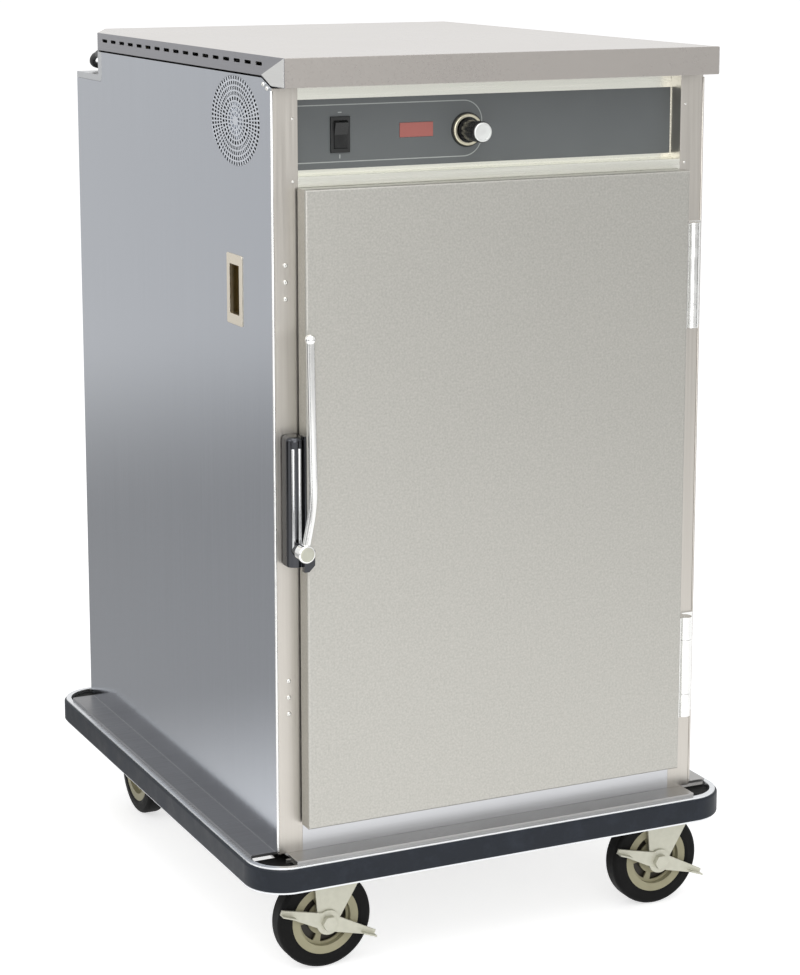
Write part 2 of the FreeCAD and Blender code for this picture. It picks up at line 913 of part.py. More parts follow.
def heater_leg(point, away):
    top_z = cavity_z1 + liner_t + heater_up
    foot = point + away * heater_bend
    centre = point + Z_AXIS * heater_bend
    bend_start = foot + Z_AXIS * heater_bend
    bend_middle = centre + (away - Z_AXIS) * (heater_bend / math.sqrt(2))
    top = V(foot.x, foot.y, top_z)
    return [
        Part.LineSegment(top, bend_start).toShape(),
        Part.Arc(bend_start, bend_middle, point).toShape(),
    ]


def heater_element():
    first, first_along = heater_frame(heater_foot_angle + heater_open)
    last, last_along = heater_frame(heater_foot_angle - heater_open)
    ring = Part.Arc(first, heater_frame(-heater_foot_angle)[0], last).toShape()
    path = heater_leg(first, first_along * -1) + [ring] + heater_leg(last, last_along)
    return tube_along(path, heater_tube_r)


# Round tube along a chain of lines and arcs
def tube_along(edges, r):
    wire = Part.Wire(Part.__sortEdges__(edges))
    first = wire.OrderedEdges[0]
    start = wire.OrderedVertexes[0].Point
    parameter = first.FirstParameter
    if first.valueAt(parameter).distanceToPoint(start) > 0.001:
        parameter = first.LastParameter
    section = Part.Wire(Part.Circle(start, first.tangentAt(parameter), r).toShape())
    return wire.makePipeShell([section], True, False)


# Blower: a wheel of leaning blades on a shaft that runs up into the motor
def blower_wheel():
    x, y = blower_place()
    z1 = cavity_z1 - blower_gap
    z0 = z1 - blower_h
    disc = rod_z(blower_r, z1 - disc_t, z1, x, y)
    rim = rod_z(blower_r, z0, z0 + disc_t, x, y).cut(rod_z(blower_r - blade_l / 2, z0, z0 + disc_t, x, y))
    hub = rod_z(blower_hub_r, z0, z1, x, y)
    shaft = rod_z(blower_shaft_r, z1, motor_z + motor_bore, x, y)
    blades = []
    blade = block(0, blade_t, -blade_l, 0, z0, z1)
    tip = blower_r - disc_t
    for i in range(blower_blades):
        leaned = moved(turned(blade, Z_AXIS, blade_lean), x, y + tip, 0)
        blades.append(turned(leaned, Z_AXIS, 360 * i / blower_blades, V(x, y, 0)))
    return joined(disc, rim, hub, shaft, *blades)


def blower_motor():
    x, y = blower_place()
    flange = rod_z(motor_flange_r, motor_z, motor_z + motor_flange_t, x, y)
    can = rod_z(motor_r, motor_z, motor_z + motor_h, x, y)
    bore = rod_z(blower_shaft_r + running, motor_z, motor_z + motor_bore + fit, x, y)
    return joined(flange, can).cut(bore)


# Cooling fan behind the vent, on the X axis
def fan_frame():
    x0 = skin - half_w
    x1 = x0 + fan_t
    half = fan_size / 2
    sides = (vent_y - half, vent_y + half, vent_z - half, vent_z + half)
    shell = soft_block(x0, x1, *sides, fan_round, X_AXIS)
    shell = shell.cut(rod_x(fan_bore_r, x0, x1, vent_y, vent_z))
    spoke_x = x1 - fan_spoke_t
    spoke_y = vent_y - fan_spoke_w / 2
    spoke = block(spoke_x, x1, spoke_y, spoke_y + fan_spoke_w, vent_z, vent_z + half)
    centre = V(0, vent_y, vent_z)
    spokes = [turned(spoke, X_AXIS, 360 * (i + 0.5) / fan_spokes, centre) for i in range(fan_spokes)]
    cup = rod_x(fan_hub_r, spoke_x, x1, vent_y, vent_z)
    bore = rod_x(fan_shaft_r + running, spoke_x, x1, vent_y, vent_z)
    return joined(shell, cup, *spokes).cut(bore)


def fan_rotor():
    x0 = skin - half_w + fan_blade_t
    x1 = skin - half_w + fan_t - fan_spoke_t - fit
    mid_x = (x0 + x1) / 2
    tip = fan_bore_r - fan_tip_gap
    hub = rod_x(fan_hub_r, x0, x1, vent_y, vent_z)
    shaft = rod_x(fan_shaft_r, x1, x1 + fan_spoke_t, vent_y, vent_z)
    band = rod_x(tip, x0, x1, vent_y, vent_z)
    half = fan_blade_w / 2
    flat = block(-fan_blade_t / 2, fan_blade_t / 2, -half, half, fan_hub_r - fan_blade_t, fan_bore_r)
    pitched = moved(turned(flat, Z_AXIS, fan_pitch), mid_x, vent_y, vent_z).common(band)
    centre = V(0, vent_y, vent_z)
    blades = [turned(pitched, X_AXIS, 360 * i / fan_blades, centre) for i in range(fan_blades)]
    return joined(hub, shaft, *blades)


# Control panel: every cut-out is the seat of the piece behind it
def control_cuts(y0, y1):
    room = 2 * fit
    return [
        block_y(switch_x, switch_z, switch_w + room, switch_h + room, y0, y1),
        block_y(display_x, display_z, display_w + room, display_h + room, y0, y1),
        rod_y(bush_r + fit, y0, y1, knob_x, knob_z),
    ]


def control_fascia():
    sheet = block(-frame_x, frame_x, fascia_y, panel_y, ledge_z, cover_z - skin)
    return sheet.cut(control_cuts(fascia_y, panel_y))


def control_overlay():
    z0 = ledge_z + overlay_up
    x = frame_x - skin
    return block(-x, x, overlay_y, fascia_y, z0, z0 + overlay_h).cut(control_cuts(overlay_y, fascia_y))


# Edges on the front face of a solid
def front_edges(solid):
    y = solid.BoundBox.YMin
    return [e for e in solid.Edges if e.BoundBox.YMax < y + 0.01]


def switch_bezel():
    face_y = overlay_y - bezel_t
    face = block_y(switch_x, switch_z, bezel_w, bezel_h, face_y, overlay_y)
    face = face.makeFillet(bezel_round, front_edges(face))
    case = block_y(switch_x, switch_z, switch_w, switch_h, overlay_y, overlay_y + switch_d)
    room_w = rocker_w + 2 * fit
    room_y = overlay_y + rocker_back + rocker_sweep
    room = block_y(switch_x, switch_z, room_w, 2 * (rocker_r + fit), face_y, room_y)
    pin_x = room_w / 2 + rocker_pin_l
    pin = rod_x(rocker_pin_r + running, switch_x - pin_x, switch_x + pin_x, overlay_y, switch_z)
    return joined(face, case).cut([room, pin])


# Rocker: two flats that meet in front of the pivot, with ends round about it
def rocker():
    x0 = switch_x - rocker_w / 2
    tilt = math.radians(rocker_tilt)
    flat = rocker_front * math.cos(tilt)
    reach = math.sqrt(rocker_r ** 2 - flat ** 2) - rocker_front * math.sin(tilt)
    low_z = math.sqrt(rocker_r ** 2 - rocker_front ** 2)
    back_z = math.sqrt(rocker_r ** 2 - rocker_back ** 2)
    corners = [
        (-rocker_front, -low_z),
        (-rocker_front, 0.0),
        (-rocker_front - reach * math.sin(tilt), reach * math.cos(tilt)),
        (rocker_back, back_z),
        (rocker_back, -back_z),
    ]
    low, middle, high, back_high, back_low = [V(x0, overlay_y + y, switch_z + z) for y, z in corners]
    top = V(x0, overlay_y, switch_z + rocker_r)
    bottom = V(x0, overlay_y, switch_z - rocker_r)
    outline = [
        Part.LineSegment(low, middle).toShape(),
        Part.LineSegment(middle, high).toShape(),
        Part.Arc(high, top, back_high).toShape(),
        Part.LineSegment(back_high, back_low).toShape(),
        Part.Arc(back_low, bottom, low).toShape(),
    ]
    body = Part.Face(Part.Wire(outline)).extrude(V(rocker_w, 0, 0))
    pin_x = rocker_w / 2 + rocker_pin_l
    return joined(body, rod_x(rocker_pin_r, switch_x - pin_x, switch_x + pin_x, overlay_y, switch_z))


def display_window():
    lens = block_y(display_x, display_z, display_w, display_h, overlay_y - display_proud, panel_y)
    case_w = display_w + 2 * module_edge
    case_h = display_h + 2 * module_edge
    return joined(lens, block_y(display_x, display_z, case_w, case_h, panel_y, panel_y + module_d))


def dial_ring():
    y0 = overlay_y - dial_t
    ring = rod_y(dial_r, y0, overlay_y, knob_x, knob_z)
    ring = ring.makeFillet(dial_round, front_edges(ring))
    return ring.cut(rod_y(dial_bore, y0, overlay_y, knob_x, knob_z))


def thermostat():
    case = block_y(knob_x, knob_z, stat_w, stat_h, panel_y, panel_y + stat_d)
    bush_y = overlay_y - fit
    bush = rod_y(bush_r, bush_y, panel_y, knob_x, knob_z)
    bore = rod_y(shaft_r + running, bush_y, overlay_y + shaft_l + fit, knob_x, knob_z)
    return joined(case, bush).cut(bore)


# Knob: a skirt in the dial ring, a fluted grip and the shaft
def knob():
    y1 = overlay_y - 2 * fit
    y0 = y1 - knob_l
    skirt_y = y1 - knob_skirt_t
    skirt = rod_y(knob_skirt_r, skirt_y, y1, knob_x, knob_z)
    grip = rod_y(knob_r, y0, y1, knob_x, knob_z)
    grip = grip.makeFillet(flute_r, front_edges(grip))
    flute = rod_y(flute_r, y0 + 2 * flute_r, skirt_y, knob_x + knob_r + flute_r / 2, knob_z)
    middle = V(knob_x, 0, knob_z)
    flutes = [turned(flute, Y_AXIS, 360 * i / knob_flutes, middle) for i in range(knob_flutes)]
    shaft = rod_y(shaft_r, y1, overlay_y + shaft_l, knob_x, knob_z)
    return joined(skirt, grip.cut(flutes), shaft)


# Door: a folded pan, its foam, an inner sheet and a gasket
def door_skin():
    pan = block(door_x0, door_x1, door_y0, door_y1, door_z0, door_z1)
    pan = pan.makeFillet(door_round, front_edges(pan))
    return pan.cut(door_inside(door_y0 + door_sheet, door_y1, 0.0))


# Block inside the door's pan, smaller by a margin
def door_inside(y0, y1, margin):
    t = door_sheet + margin
    return block(door_x0 + t, door_x1 - t, y0, y1, door_z0 + t, door_z1 - t)


def door_core():
    return door_inside(door_y0 + door_sheet, door_y1 - door_sheet, fit)


def door_liner():
    return door_inside(door_y1 - door_sheet, door_y1, fit)


def door_gasket():
    y1 = front_y - fit
    a = gasket_inset
    b = gasket_inset + gasket_w
    outer = block(door_x0 + a, door_x1 - a, door_y1, y1, door_z0 + a, door_z1 - a)
    inner = block(door_x0 + b, door_x1 - b, door_y1, y1, door_z0 + b, door_z1 - b)
    return outer.cut(inner)


# Hinges: three knuckles on a pin, the middle one with the door
def hinges():
    frames = []
    doors = []
    pins = []
    end_h = (hinge_h - hinge_mid) / 2
    for low in (hinge_low, hinge_high):
        z0 = door_z0 + low - hinge_h / 2
        z1 = z0 + hinge_h
        mid0 = z0 + end_h
        mid1 = z1 - end_h
        web_y = front_y - leaf_t
        leaf = block(hinge_x - leaf_near, hinge_x - leaf_near + leaf_w, web_y, front_y, z0, z1)
        pieces = []
        for a, b in ((z0, mid0 - fit), (mid1 + fit, z1)):
            pieces.append(rod_z(barrel_r, a, b, hinge_x, hinge_y))
            pieces.append(block(hinge_x - hinge_web / 2, hinge_x + hinge_web / 2, hinge_y, web_y, a, b))
        frames.append(joined(leaf, *pieces).cut(rod_z(pin_r, z0, z1, hinge_x, hinge_y)))
        plate_x = door_x1 + door_leaf_t
        plate = block(door_x1, plate_x, door_y0 + door_leaf_edge, door_y1 - door_leaf_edge, z0, z1)
        web = block(plate_x, hinge_x, hinge_y - hinge_web / 2, hinge_y + hinge_web / 2, mid0, mid1)
        barrel = rod_z(barrel_r, mid0, mid1, hinge_x, hinge_y)
        doors.append(joined(plate, web, barrel).cut(rod_z(pin_r + running, mid0, mid1, hinge_x, hinge_y)))
        pins.append(rod_z(pin_r, z0, z1, hinge_x, hinge_y))
    save("hinge_frame_leaves", *frames)
    save("hinge_door_leaves", *doors)
    save("hinge_pins", *pins)


# Latch: a half-round body beside the door's edge, with a foot on the door's face
def latch_body():
    x0 = latch_edge - half_w
    x1 = x0 + latch_w
    y0 = front_y - latch_front
    y1 = front_y - strike_t - fit
    z1 = latch_z + latch_h
    shell = block(x0, x1, y0, y1, latch_z, z1)
    nose = [e for e in edges_along(shell, Z_AXIS) if e.CenterOfMass.y < y0 + fit]
    shell = shell.makeFillet(latch_w / 2 - fit, nose)
    crest = [e for e in shell.Edges if e.BoundBox.ZMin > z1 - fit and e.BoundBox.YMin < y1 - fit]
    shell = shell.makeFillet(latch_top_round, crest)
    tab = block(x1 - skin, door_x0, door_y0 + door_leaf_edge, door_y1 - door_leaf_edge, latch_z, z1)
    foot_x = x1 - latch_foot_reach
    foot_y = door_y0 - latch_foot_t
    foot_z = latch_z - latch_foot_drop
    foot_top = foot_z + latch_foot_h
    foot_end = door_x0 + latch_foot_reach
    foot = block(foot_x, foot_end, foot_y, door_y0, foot_z, foot_top)
    right = [e for e in edges_along(foot, Y_AXIS) if e.CenterOfMass.x > foot_end - fit]
    toe = [e for e in right if e.CenterOfMass.z < foot_z + fit]
    foot = foot.makeChamfer(latch_foot_chamfer, toe)
    bridge = block(foot_x, x1, foot_y, y1, latch_z, foot_top)
    boss_y = front_y - boss_front
    boss = rod_y(boss_r, boss_y, y1, lever_x, pivot_z)
    pin = rod_y(lever_pin_r, front_y - lever_out + lever_cap, boss_y, lever_x, pivot_z)
    return joined(shell, tab, foot, bridge, boss, pin)


# Lever: a hub on the boss pin and a bent rod that ends in a ball
def latch_lever():
    hub_y = front_y - lever_out
    back_y0 = front_y - boss_front - fit
    hub = rod_y(lever_hub_r, hub_y, back_y0, lever_x, pivot_z)
    hub = hub.makeFillet(lever_hub_round, front_edges(hub))
    y = front_y - lever_mid
    start = V(lever_x, y, pivot_z)
    bend = start + V(lever_lean, 0, lever_bend)
    top = start + V(lever_tip_lean, 0, lever_h)
    rod = tube_along(rounded_route([start, bend, top]), lever_r)
    ball = Part.makeSphere(lever_ball_r, top)
    bore = rod_y(lever_pin_r + running, hub_y + lever_cap - fit, back_y0, lever_x, pivot_z)
    return joined(hub, rod, ball).cut(bore)


def latch_strike():
    x0 = latch_edge - half_w + (latch_w - strike_w) / 2
    z0 = latch_z + strike_low
    return soft_block(x0, x0 + strike_w, front_y - strike_t, front_y, z0, z0 + strike_h, pull_round, Y_AXIS)


# Supply lead
def lead_place(point):
    return V(cord_in - half_w + point[0], step_y + point[1], step_z + point[2])


# Runs and tangent arcs through the route, each arc as large as its runs allow
def rounded_route(points):
    edges = []
    start = points[0]
    radii = []
    for before, corner, after in zip(points, points[1:], points[2:]):
        back = (before - corner).normalize()
        on = (after - corner).normalize()
        half_turn = (math.pi - back.getAngle(on)) / 2
        cut = arc_share * min(before.distanceToPoint(corner), after.distanceToPoint(corner))
        radius = cut / math.tan(half_turn)
        radii.append(round(radius, 1))
        arc_start = corner + back * cut
        arc_end = corner + on * cut
        inward = (back + on).normalize()
        centre = corner + inward * math.hypot(radius, cut)
        middle = centre - inward * radius
        edges.append(Part.LineSegment(start, arc_start).toShape())
        edges.append(Part.Arc(arc_start, middle, arc_end).toShape())
        start = arc_end
    edges.append(Part.LineSegment(start, points[-1]).toShape())
    print("bend radii", radii)
    return edges


def cord_gland():
    x = cord_in - half_w
    z = step_z + gland_up
    flange = rod_y(gland_r, step_y, step_y + gland_flange_t, x, z)
    neck_y = step_y + gland_flange_t
    sleeve = Part.makeCone(gland_neck_r, gland_tip_r, gland_l, V(x, neck_y, z), Y_AXIS)
    return joined(flange, sleeve).cut(rod_y(cord_d / 2, step_y, neck_y + gland_l, x, z))


# Hank: a flat spiral of long loops, in along the step and out again on top
def hank_path():
    pitch = cord_d + cord_gap
    reach = hank_fold + hank_rows / 2 * pitch
    start = lead_place(lead_points[-1])
    x0 = start.x
    x1 = x0 + hank_run
    mid_y = start.y - reach
    z1 = start.z
    z2 = z1 + pitch
    edges = []

    def run(xa, xb, y, z):
        edges.append(Part.LineSegment(V(xa, mid_y + y, z), V(xb, mid_y + y, z)).toShape())

    def fold(x, ya, yb, z, side):
        r = abs(ya - yb) / 2
        middle = V(x + side * r, mid_y + (ya + yb) / 2, z)
        edges.append(Part.Arc(V(x, mid_y + ya, z), middle, V(x, mid_y + yb, z)).toShape())

    inner = reach - pitch
    climb = reach - (hank_rows - 1) * pitch
    for y, back in ((reach, inner), (inner, climb)):
        run(x0, x1, y, z1)
        fold(x1, y, -y, z1, 1)
        run(x1, x0, -y, z1)
        fold(x0, -y, back, z1, -1)
    edges.extend(climb_arcs(V(x0, mid_y + climb, z1), V(x1, mid_y + climb, z2)))
    for y, on in ((climb, inner), (inner, reach)):
        if y != climb:
            run(x0, x1, y, z2)
        fold(x1, y, -on, z2, 1)
        run(x1, x0, -on, z2)
        fold(x0, -on, on, z2, -1)
    run(x0, x1, reach, z2)
    return edges, V(x1, mid_y + reach, z2)


# Two equal arcs that rise from one level run to the next
def climb_arcs(low, high):
    span = high.x - low.x
    rise = high.z - low.z
    radius = (span ** 2 + rise ** 2) / (4 * rise)
    half = math.asin(span / 2 / radius) / 2
    knee = (low + high) * 0.5
    first = V(low.x + radius * math.sin(half), low.y, low.z + radius * (1 - math.cos(half)))
    second = V(high.x - radius * math.sin(half), high.y, high.z - radius * (1 - math.cos(half)))
    return [Part.Arc(low, first, knee).toShape(), Part.Arc(knee, second, high).toShape()]


# Least gap of a tube to itself, on points along its middle line
def self_gap(edges, diameter, step):
    points = []
    walked = 0.0
    for edge in edges:
        count = max(2, int(edge.Length / step))
        for point in edge.discretize(count)[:-1]:
            points.append((walked, point))
            walked += edge.Length / (count - 1)
    least = 1000.0
    for i, (a, p) in enumerate(points):
        for b, q in points[i + 1:]:
            if b - a > 4 * diameter:
                least = min(least, p.distanceToPoint(q))
    return least - diameter


def power_plug(start):
    y = start.y
    z = start.z
    x1 = start.x + plug_neck_l
    x2 = x1 + plug_l
    neck = Part.makeCone(plug_tail_r, plug_neck_r, plug_neck_l, start, X_AXIS)
    body = rod_x(plug_r, x1, x2, y, z)
    back = [e for e in body.Edges if e.CenterOfMass.x < x1 + 0.01 and e.BoundBox.XLength < 0.001]
    body = body.makeFillet(plug_neck_r, back)
    tips = []
    for side in (-plug_blade_x, plug_blade_x):
        t = plug_blade_t / 2
        low = z + (earth_down - blade_w) / 2
        tips.append(block(x2, x2 + plug_blade_l, y + side - t, y + side + t, low, low + blade_w))
    tips.append(rod_x(earth_r, x2, x2 + earth_l, y, z - earth_down))
    return joined(neck, body, *tips)


def supply_lead():
    route = rounded_route([lead_place(p) for p in lead_points])
    lead = tube_along(route, cord_d / 2)
    path, end = hank_path()
    hank = tube_along(path, cord_d / 2)
    section = math.pi * cord_d ** 2 / 4
    for name, edges, solid in (("lead", route, lead), ("hank", path, hank)):
        length = sum(e.Length for e in edges)
        print(name, "length", round(length, 1), "volume share", round(solid.Volume / section / length, 4))
    print("hank least gap", round(self_gap(path, cord_d, cord_d / 2), 2))
    save("cord_gland", cord_gland())
    save("cord_lead", lead)
    save("cord_hank", hank)
    save("power_plug", power_plug(end))


os.makedirs("parts", exist_ok=True)
save("base_frame", base_frame())
rail, strip = bumper()
save("bumper_rail", rail)
save("bumper_strip", strip)
casters()
save("side_panel_left", side_panel(True))
save("side_panel_right", mirrored(side_panel(False)))
save("back_panel", block(skin - half_w, half_w - skin, back_y - skin, back_y, body_z, step_z - strip_h))
save("rear_step", rear_step())
save("top_cover", top_cover())
save("front_stiles", front_stile(), mirrored(front_stile()))
save("header_rail", header_rail())
save("bottom_rail", bottom_rail())
save("jamb_strips", jamb_strip(), mirrored(jamb_strip()))
save("flush_pulls", flush_pull(), mirrored(flush_pull()))
save("wall_insulation", *wall_insulation())
save("cavity_liner", *cavity_liner())
save("pan_slides", *pan_slides())
save("vent_grille", vent_grille())
save("fan_frame", fan_frame())
save("fan_rotor", fan_rotor())
save("heater_element", heater_element())
save("blower_motor", blower_motor())
save("blower_wheel", blower_wheel())
save("control_fascia", control_fascia())
save("control_overlay", control_overlay())
save("switch_bezel", switch_bezel())
save("rocker", rocker())
save("display_window", display_window())
save("dial_ring", dial_ring())
save("thermostat", thermostat())
save("knob", knob())
save("door_skin", door_skin())
save("door_core", door_core())
save("door_liner", door_liner())
save("door_gasket", door_gasket())
hinges()
save("latch_body", latch_body())
save("latch_lever", latch_lever())
save("latch_strike", latch_strike())
supply_lead()
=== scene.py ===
import bpy
import math
from mathutils import Matrix, Vector


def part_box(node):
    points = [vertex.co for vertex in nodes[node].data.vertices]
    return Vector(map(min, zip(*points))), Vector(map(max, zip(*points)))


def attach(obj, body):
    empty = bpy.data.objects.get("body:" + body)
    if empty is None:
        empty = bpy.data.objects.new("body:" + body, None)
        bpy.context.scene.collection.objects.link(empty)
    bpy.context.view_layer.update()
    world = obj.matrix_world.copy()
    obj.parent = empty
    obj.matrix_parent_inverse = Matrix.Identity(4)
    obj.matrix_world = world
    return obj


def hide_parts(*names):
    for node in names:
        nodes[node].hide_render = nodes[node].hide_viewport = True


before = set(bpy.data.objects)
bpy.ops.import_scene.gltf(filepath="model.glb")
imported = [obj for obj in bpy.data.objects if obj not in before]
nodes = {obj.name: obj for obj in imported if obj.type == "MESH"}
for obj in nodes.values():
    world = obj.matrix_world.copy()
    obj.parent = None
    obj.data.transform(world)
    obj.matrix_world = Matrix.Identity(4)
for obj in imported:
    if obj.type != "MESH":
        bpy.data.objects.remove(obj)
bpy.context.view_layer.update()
print("frame loaded,", len(nodes), "nodes")

mm = 0.001


# Helpers for nodes and materials
noiseSpan = {"From Min": 0.3, "From Max": 0.7}  # where most values of a noise texture lie


def hexColour(code):
    linear = []
    for i in (0, 2, 4):
        c = int(code[i:i + 2], 16) / 255
        linear.append(c / 12.92 if c <= 0.04045 else ((c + 0.055) / 1.055) ** 2.4)  # the sRGB curve
    return (*linear, 1.0)


def addNode(tree, kind, sockets=None, **settings):
    node = tree.nodes.new(kind)
    for key, value in settings.items():
        setattr(node, key, value)
    for key, value in (sockets or {}).items():
        if isinstance(value, bpy.types.NodeSocket):
            tree.links.new(value, node.inputs[key])
        else:
            node.inputs[key].default_value = value
    return node


def newMaterial(name):
    material = bpy.data.materials.new(name)
    material.use_nodes = True
    tree = material.node_tree
    return material, tree, tree.nodes["Principled BSDF"]


def paint(material, *names):
    for name in names:
        data = nodes[name].data
        data.materials.clear()
        data.materials.append(material)


# Camera, fitted to the corners of cover, door, sides and casters
photoCamera = {
    "imageHeight": 975, "focalPixels": 2523.6, "axisRow": 370.0,
    "pitch": 0.1818, "yaw": 0.4437, "place": (-1.5049, -3.25355, 1.3917),
}


def makeCamera(look):
    data = bpy.data.cameras.new("photoCamera")
    camera = bpy.data.objects.new("photoCamera", data)
    bpy.context.scene.collection.objects.link(camera)
    data.sensor_width = 36.0
    data.lens = look["focalPixels"] * data.sensor_width / look["imageHeight"]
    data.shift_y = (look["axisRow"] - look["imageHeight"] / 2) / look["imageHeight"]
    data.clip_start = 0.05
    data.clip_end = 200.0
    pitch, yaw = look["pitch"], look["yaw"]
    level = math.cos(pitch)
    forward = Vector((math.sin(yaw) * level, math.cos(yaw) * level, -math.sin(pitch)))
    camera.location = look["place"]
    camera.rotation_euler = forward.to_track_quat("-Z", "Y").to_euler()
    bpy.context.scene.camera = camera


makeCamera(photoCamera)
bpy.context.scene.view_settings.view_transform = "Standard"
print("camera set")


# Stainless sheet, satin ground: soft long reflections, fine grain one way, faint handling marks.
# Each row of faces paints shade on a fold or a pocket, by place on the part: axis, full at mm, gone at mm,
# colour.
def stainlessSheet(name, kit):
    material, tree, shader = newMaterial(name)
    coords = addNode(tree, "ShaderNodeTexCoord").outputs["Object"]
    lines = [1 / (size * mm) for size in kit["grainMm"]]
    grain = addNode(tree, "ShaderNodeMapping", {"Vector": coords, "Scale": lines})
    streaks = addNode(tree, "ShaderNodeTexNoise", {
        "Vector": grain.outputs["Vector"], "Scale": 1.0, "Detail": 3.0}).outputs["Fac"]
    clouds = addNode(tree, "ShaderNodeTexNoise", {
        "Vector": coords, "Scale": 1 / (kit["cloudMm"] * mm), "Detail": 2.0}).outputs["Fac"]
    rough, spread = kit["rough"], kit["spread"]
    fine = addNode(tree, "ShaderNodeMapRange", {
        "Value": streaks, **noiseSpan, "To Min": rough - spread, "To Max": rough + spread})
    blotch = addNode(tree, "ShaderNodeMapRange", {
        "Value": clouds, **noiseSpan, "To Min": -spread / 2, "To Max": spread / 2})
    total = addNode(tree, "ShaderNodeMath", {
        0: fine.outputs["Result"], 1: blotch.outputs["Result"]}, operation="ADD")
    shade = addNode(tree, "ShaderNodeMix", {
        "Factor": streaks, "A": hexColour(kit["dark"]), "B": hexColour(kit["light"])},
        data_type="RGBA")
    for axis, fullMm, goneMm, shadeTint in kit.get("faces", ()):
        parts = addNode(tree, "ShaderNodeSeparateXYZ", {"Vector": coords})
        share = addNode(tree, "ShaderNodeMapRange", {
            "Value": parts.outputs[axis], "From Min": fullMm * mm, "From Max": goneMm * mm,
            "To Min": 1.0, "To Max": 0.0})
        # painted shade: towards the fold or pocket the sheet colour turns to the row's colour
        shade = addNode(tree, "ShaderNodeMix", {
            "Factor": share.outputs["Result"], "A": shade.outputs["Result"], "B": hexColour(shadeTint)},
            data_type="RGBA")
    edge = addNode(tree, "ShaderNodeBevel", {"Radius": kit["edgeMm"] * mm}, samples=4)
    bump = addNode(tree, "ShaderNodeBump", {
        "Strength": kit["bump"], "Distance": 0.1 * mm, "Height": streaks,
        "Normal": edge.outputs["Normal"]})
    tree.links.new(shade.outputs["Result"], shader.inputs["Base Color"])
    tree.links.new(total.outputs["Value"], shader.inputs["Roughness"])
    tree.links.new(bump.outputs["Normal"], shader.inputs["Normal"])
    shader.inputs["Metallic"].default_value = 1.0
    return material


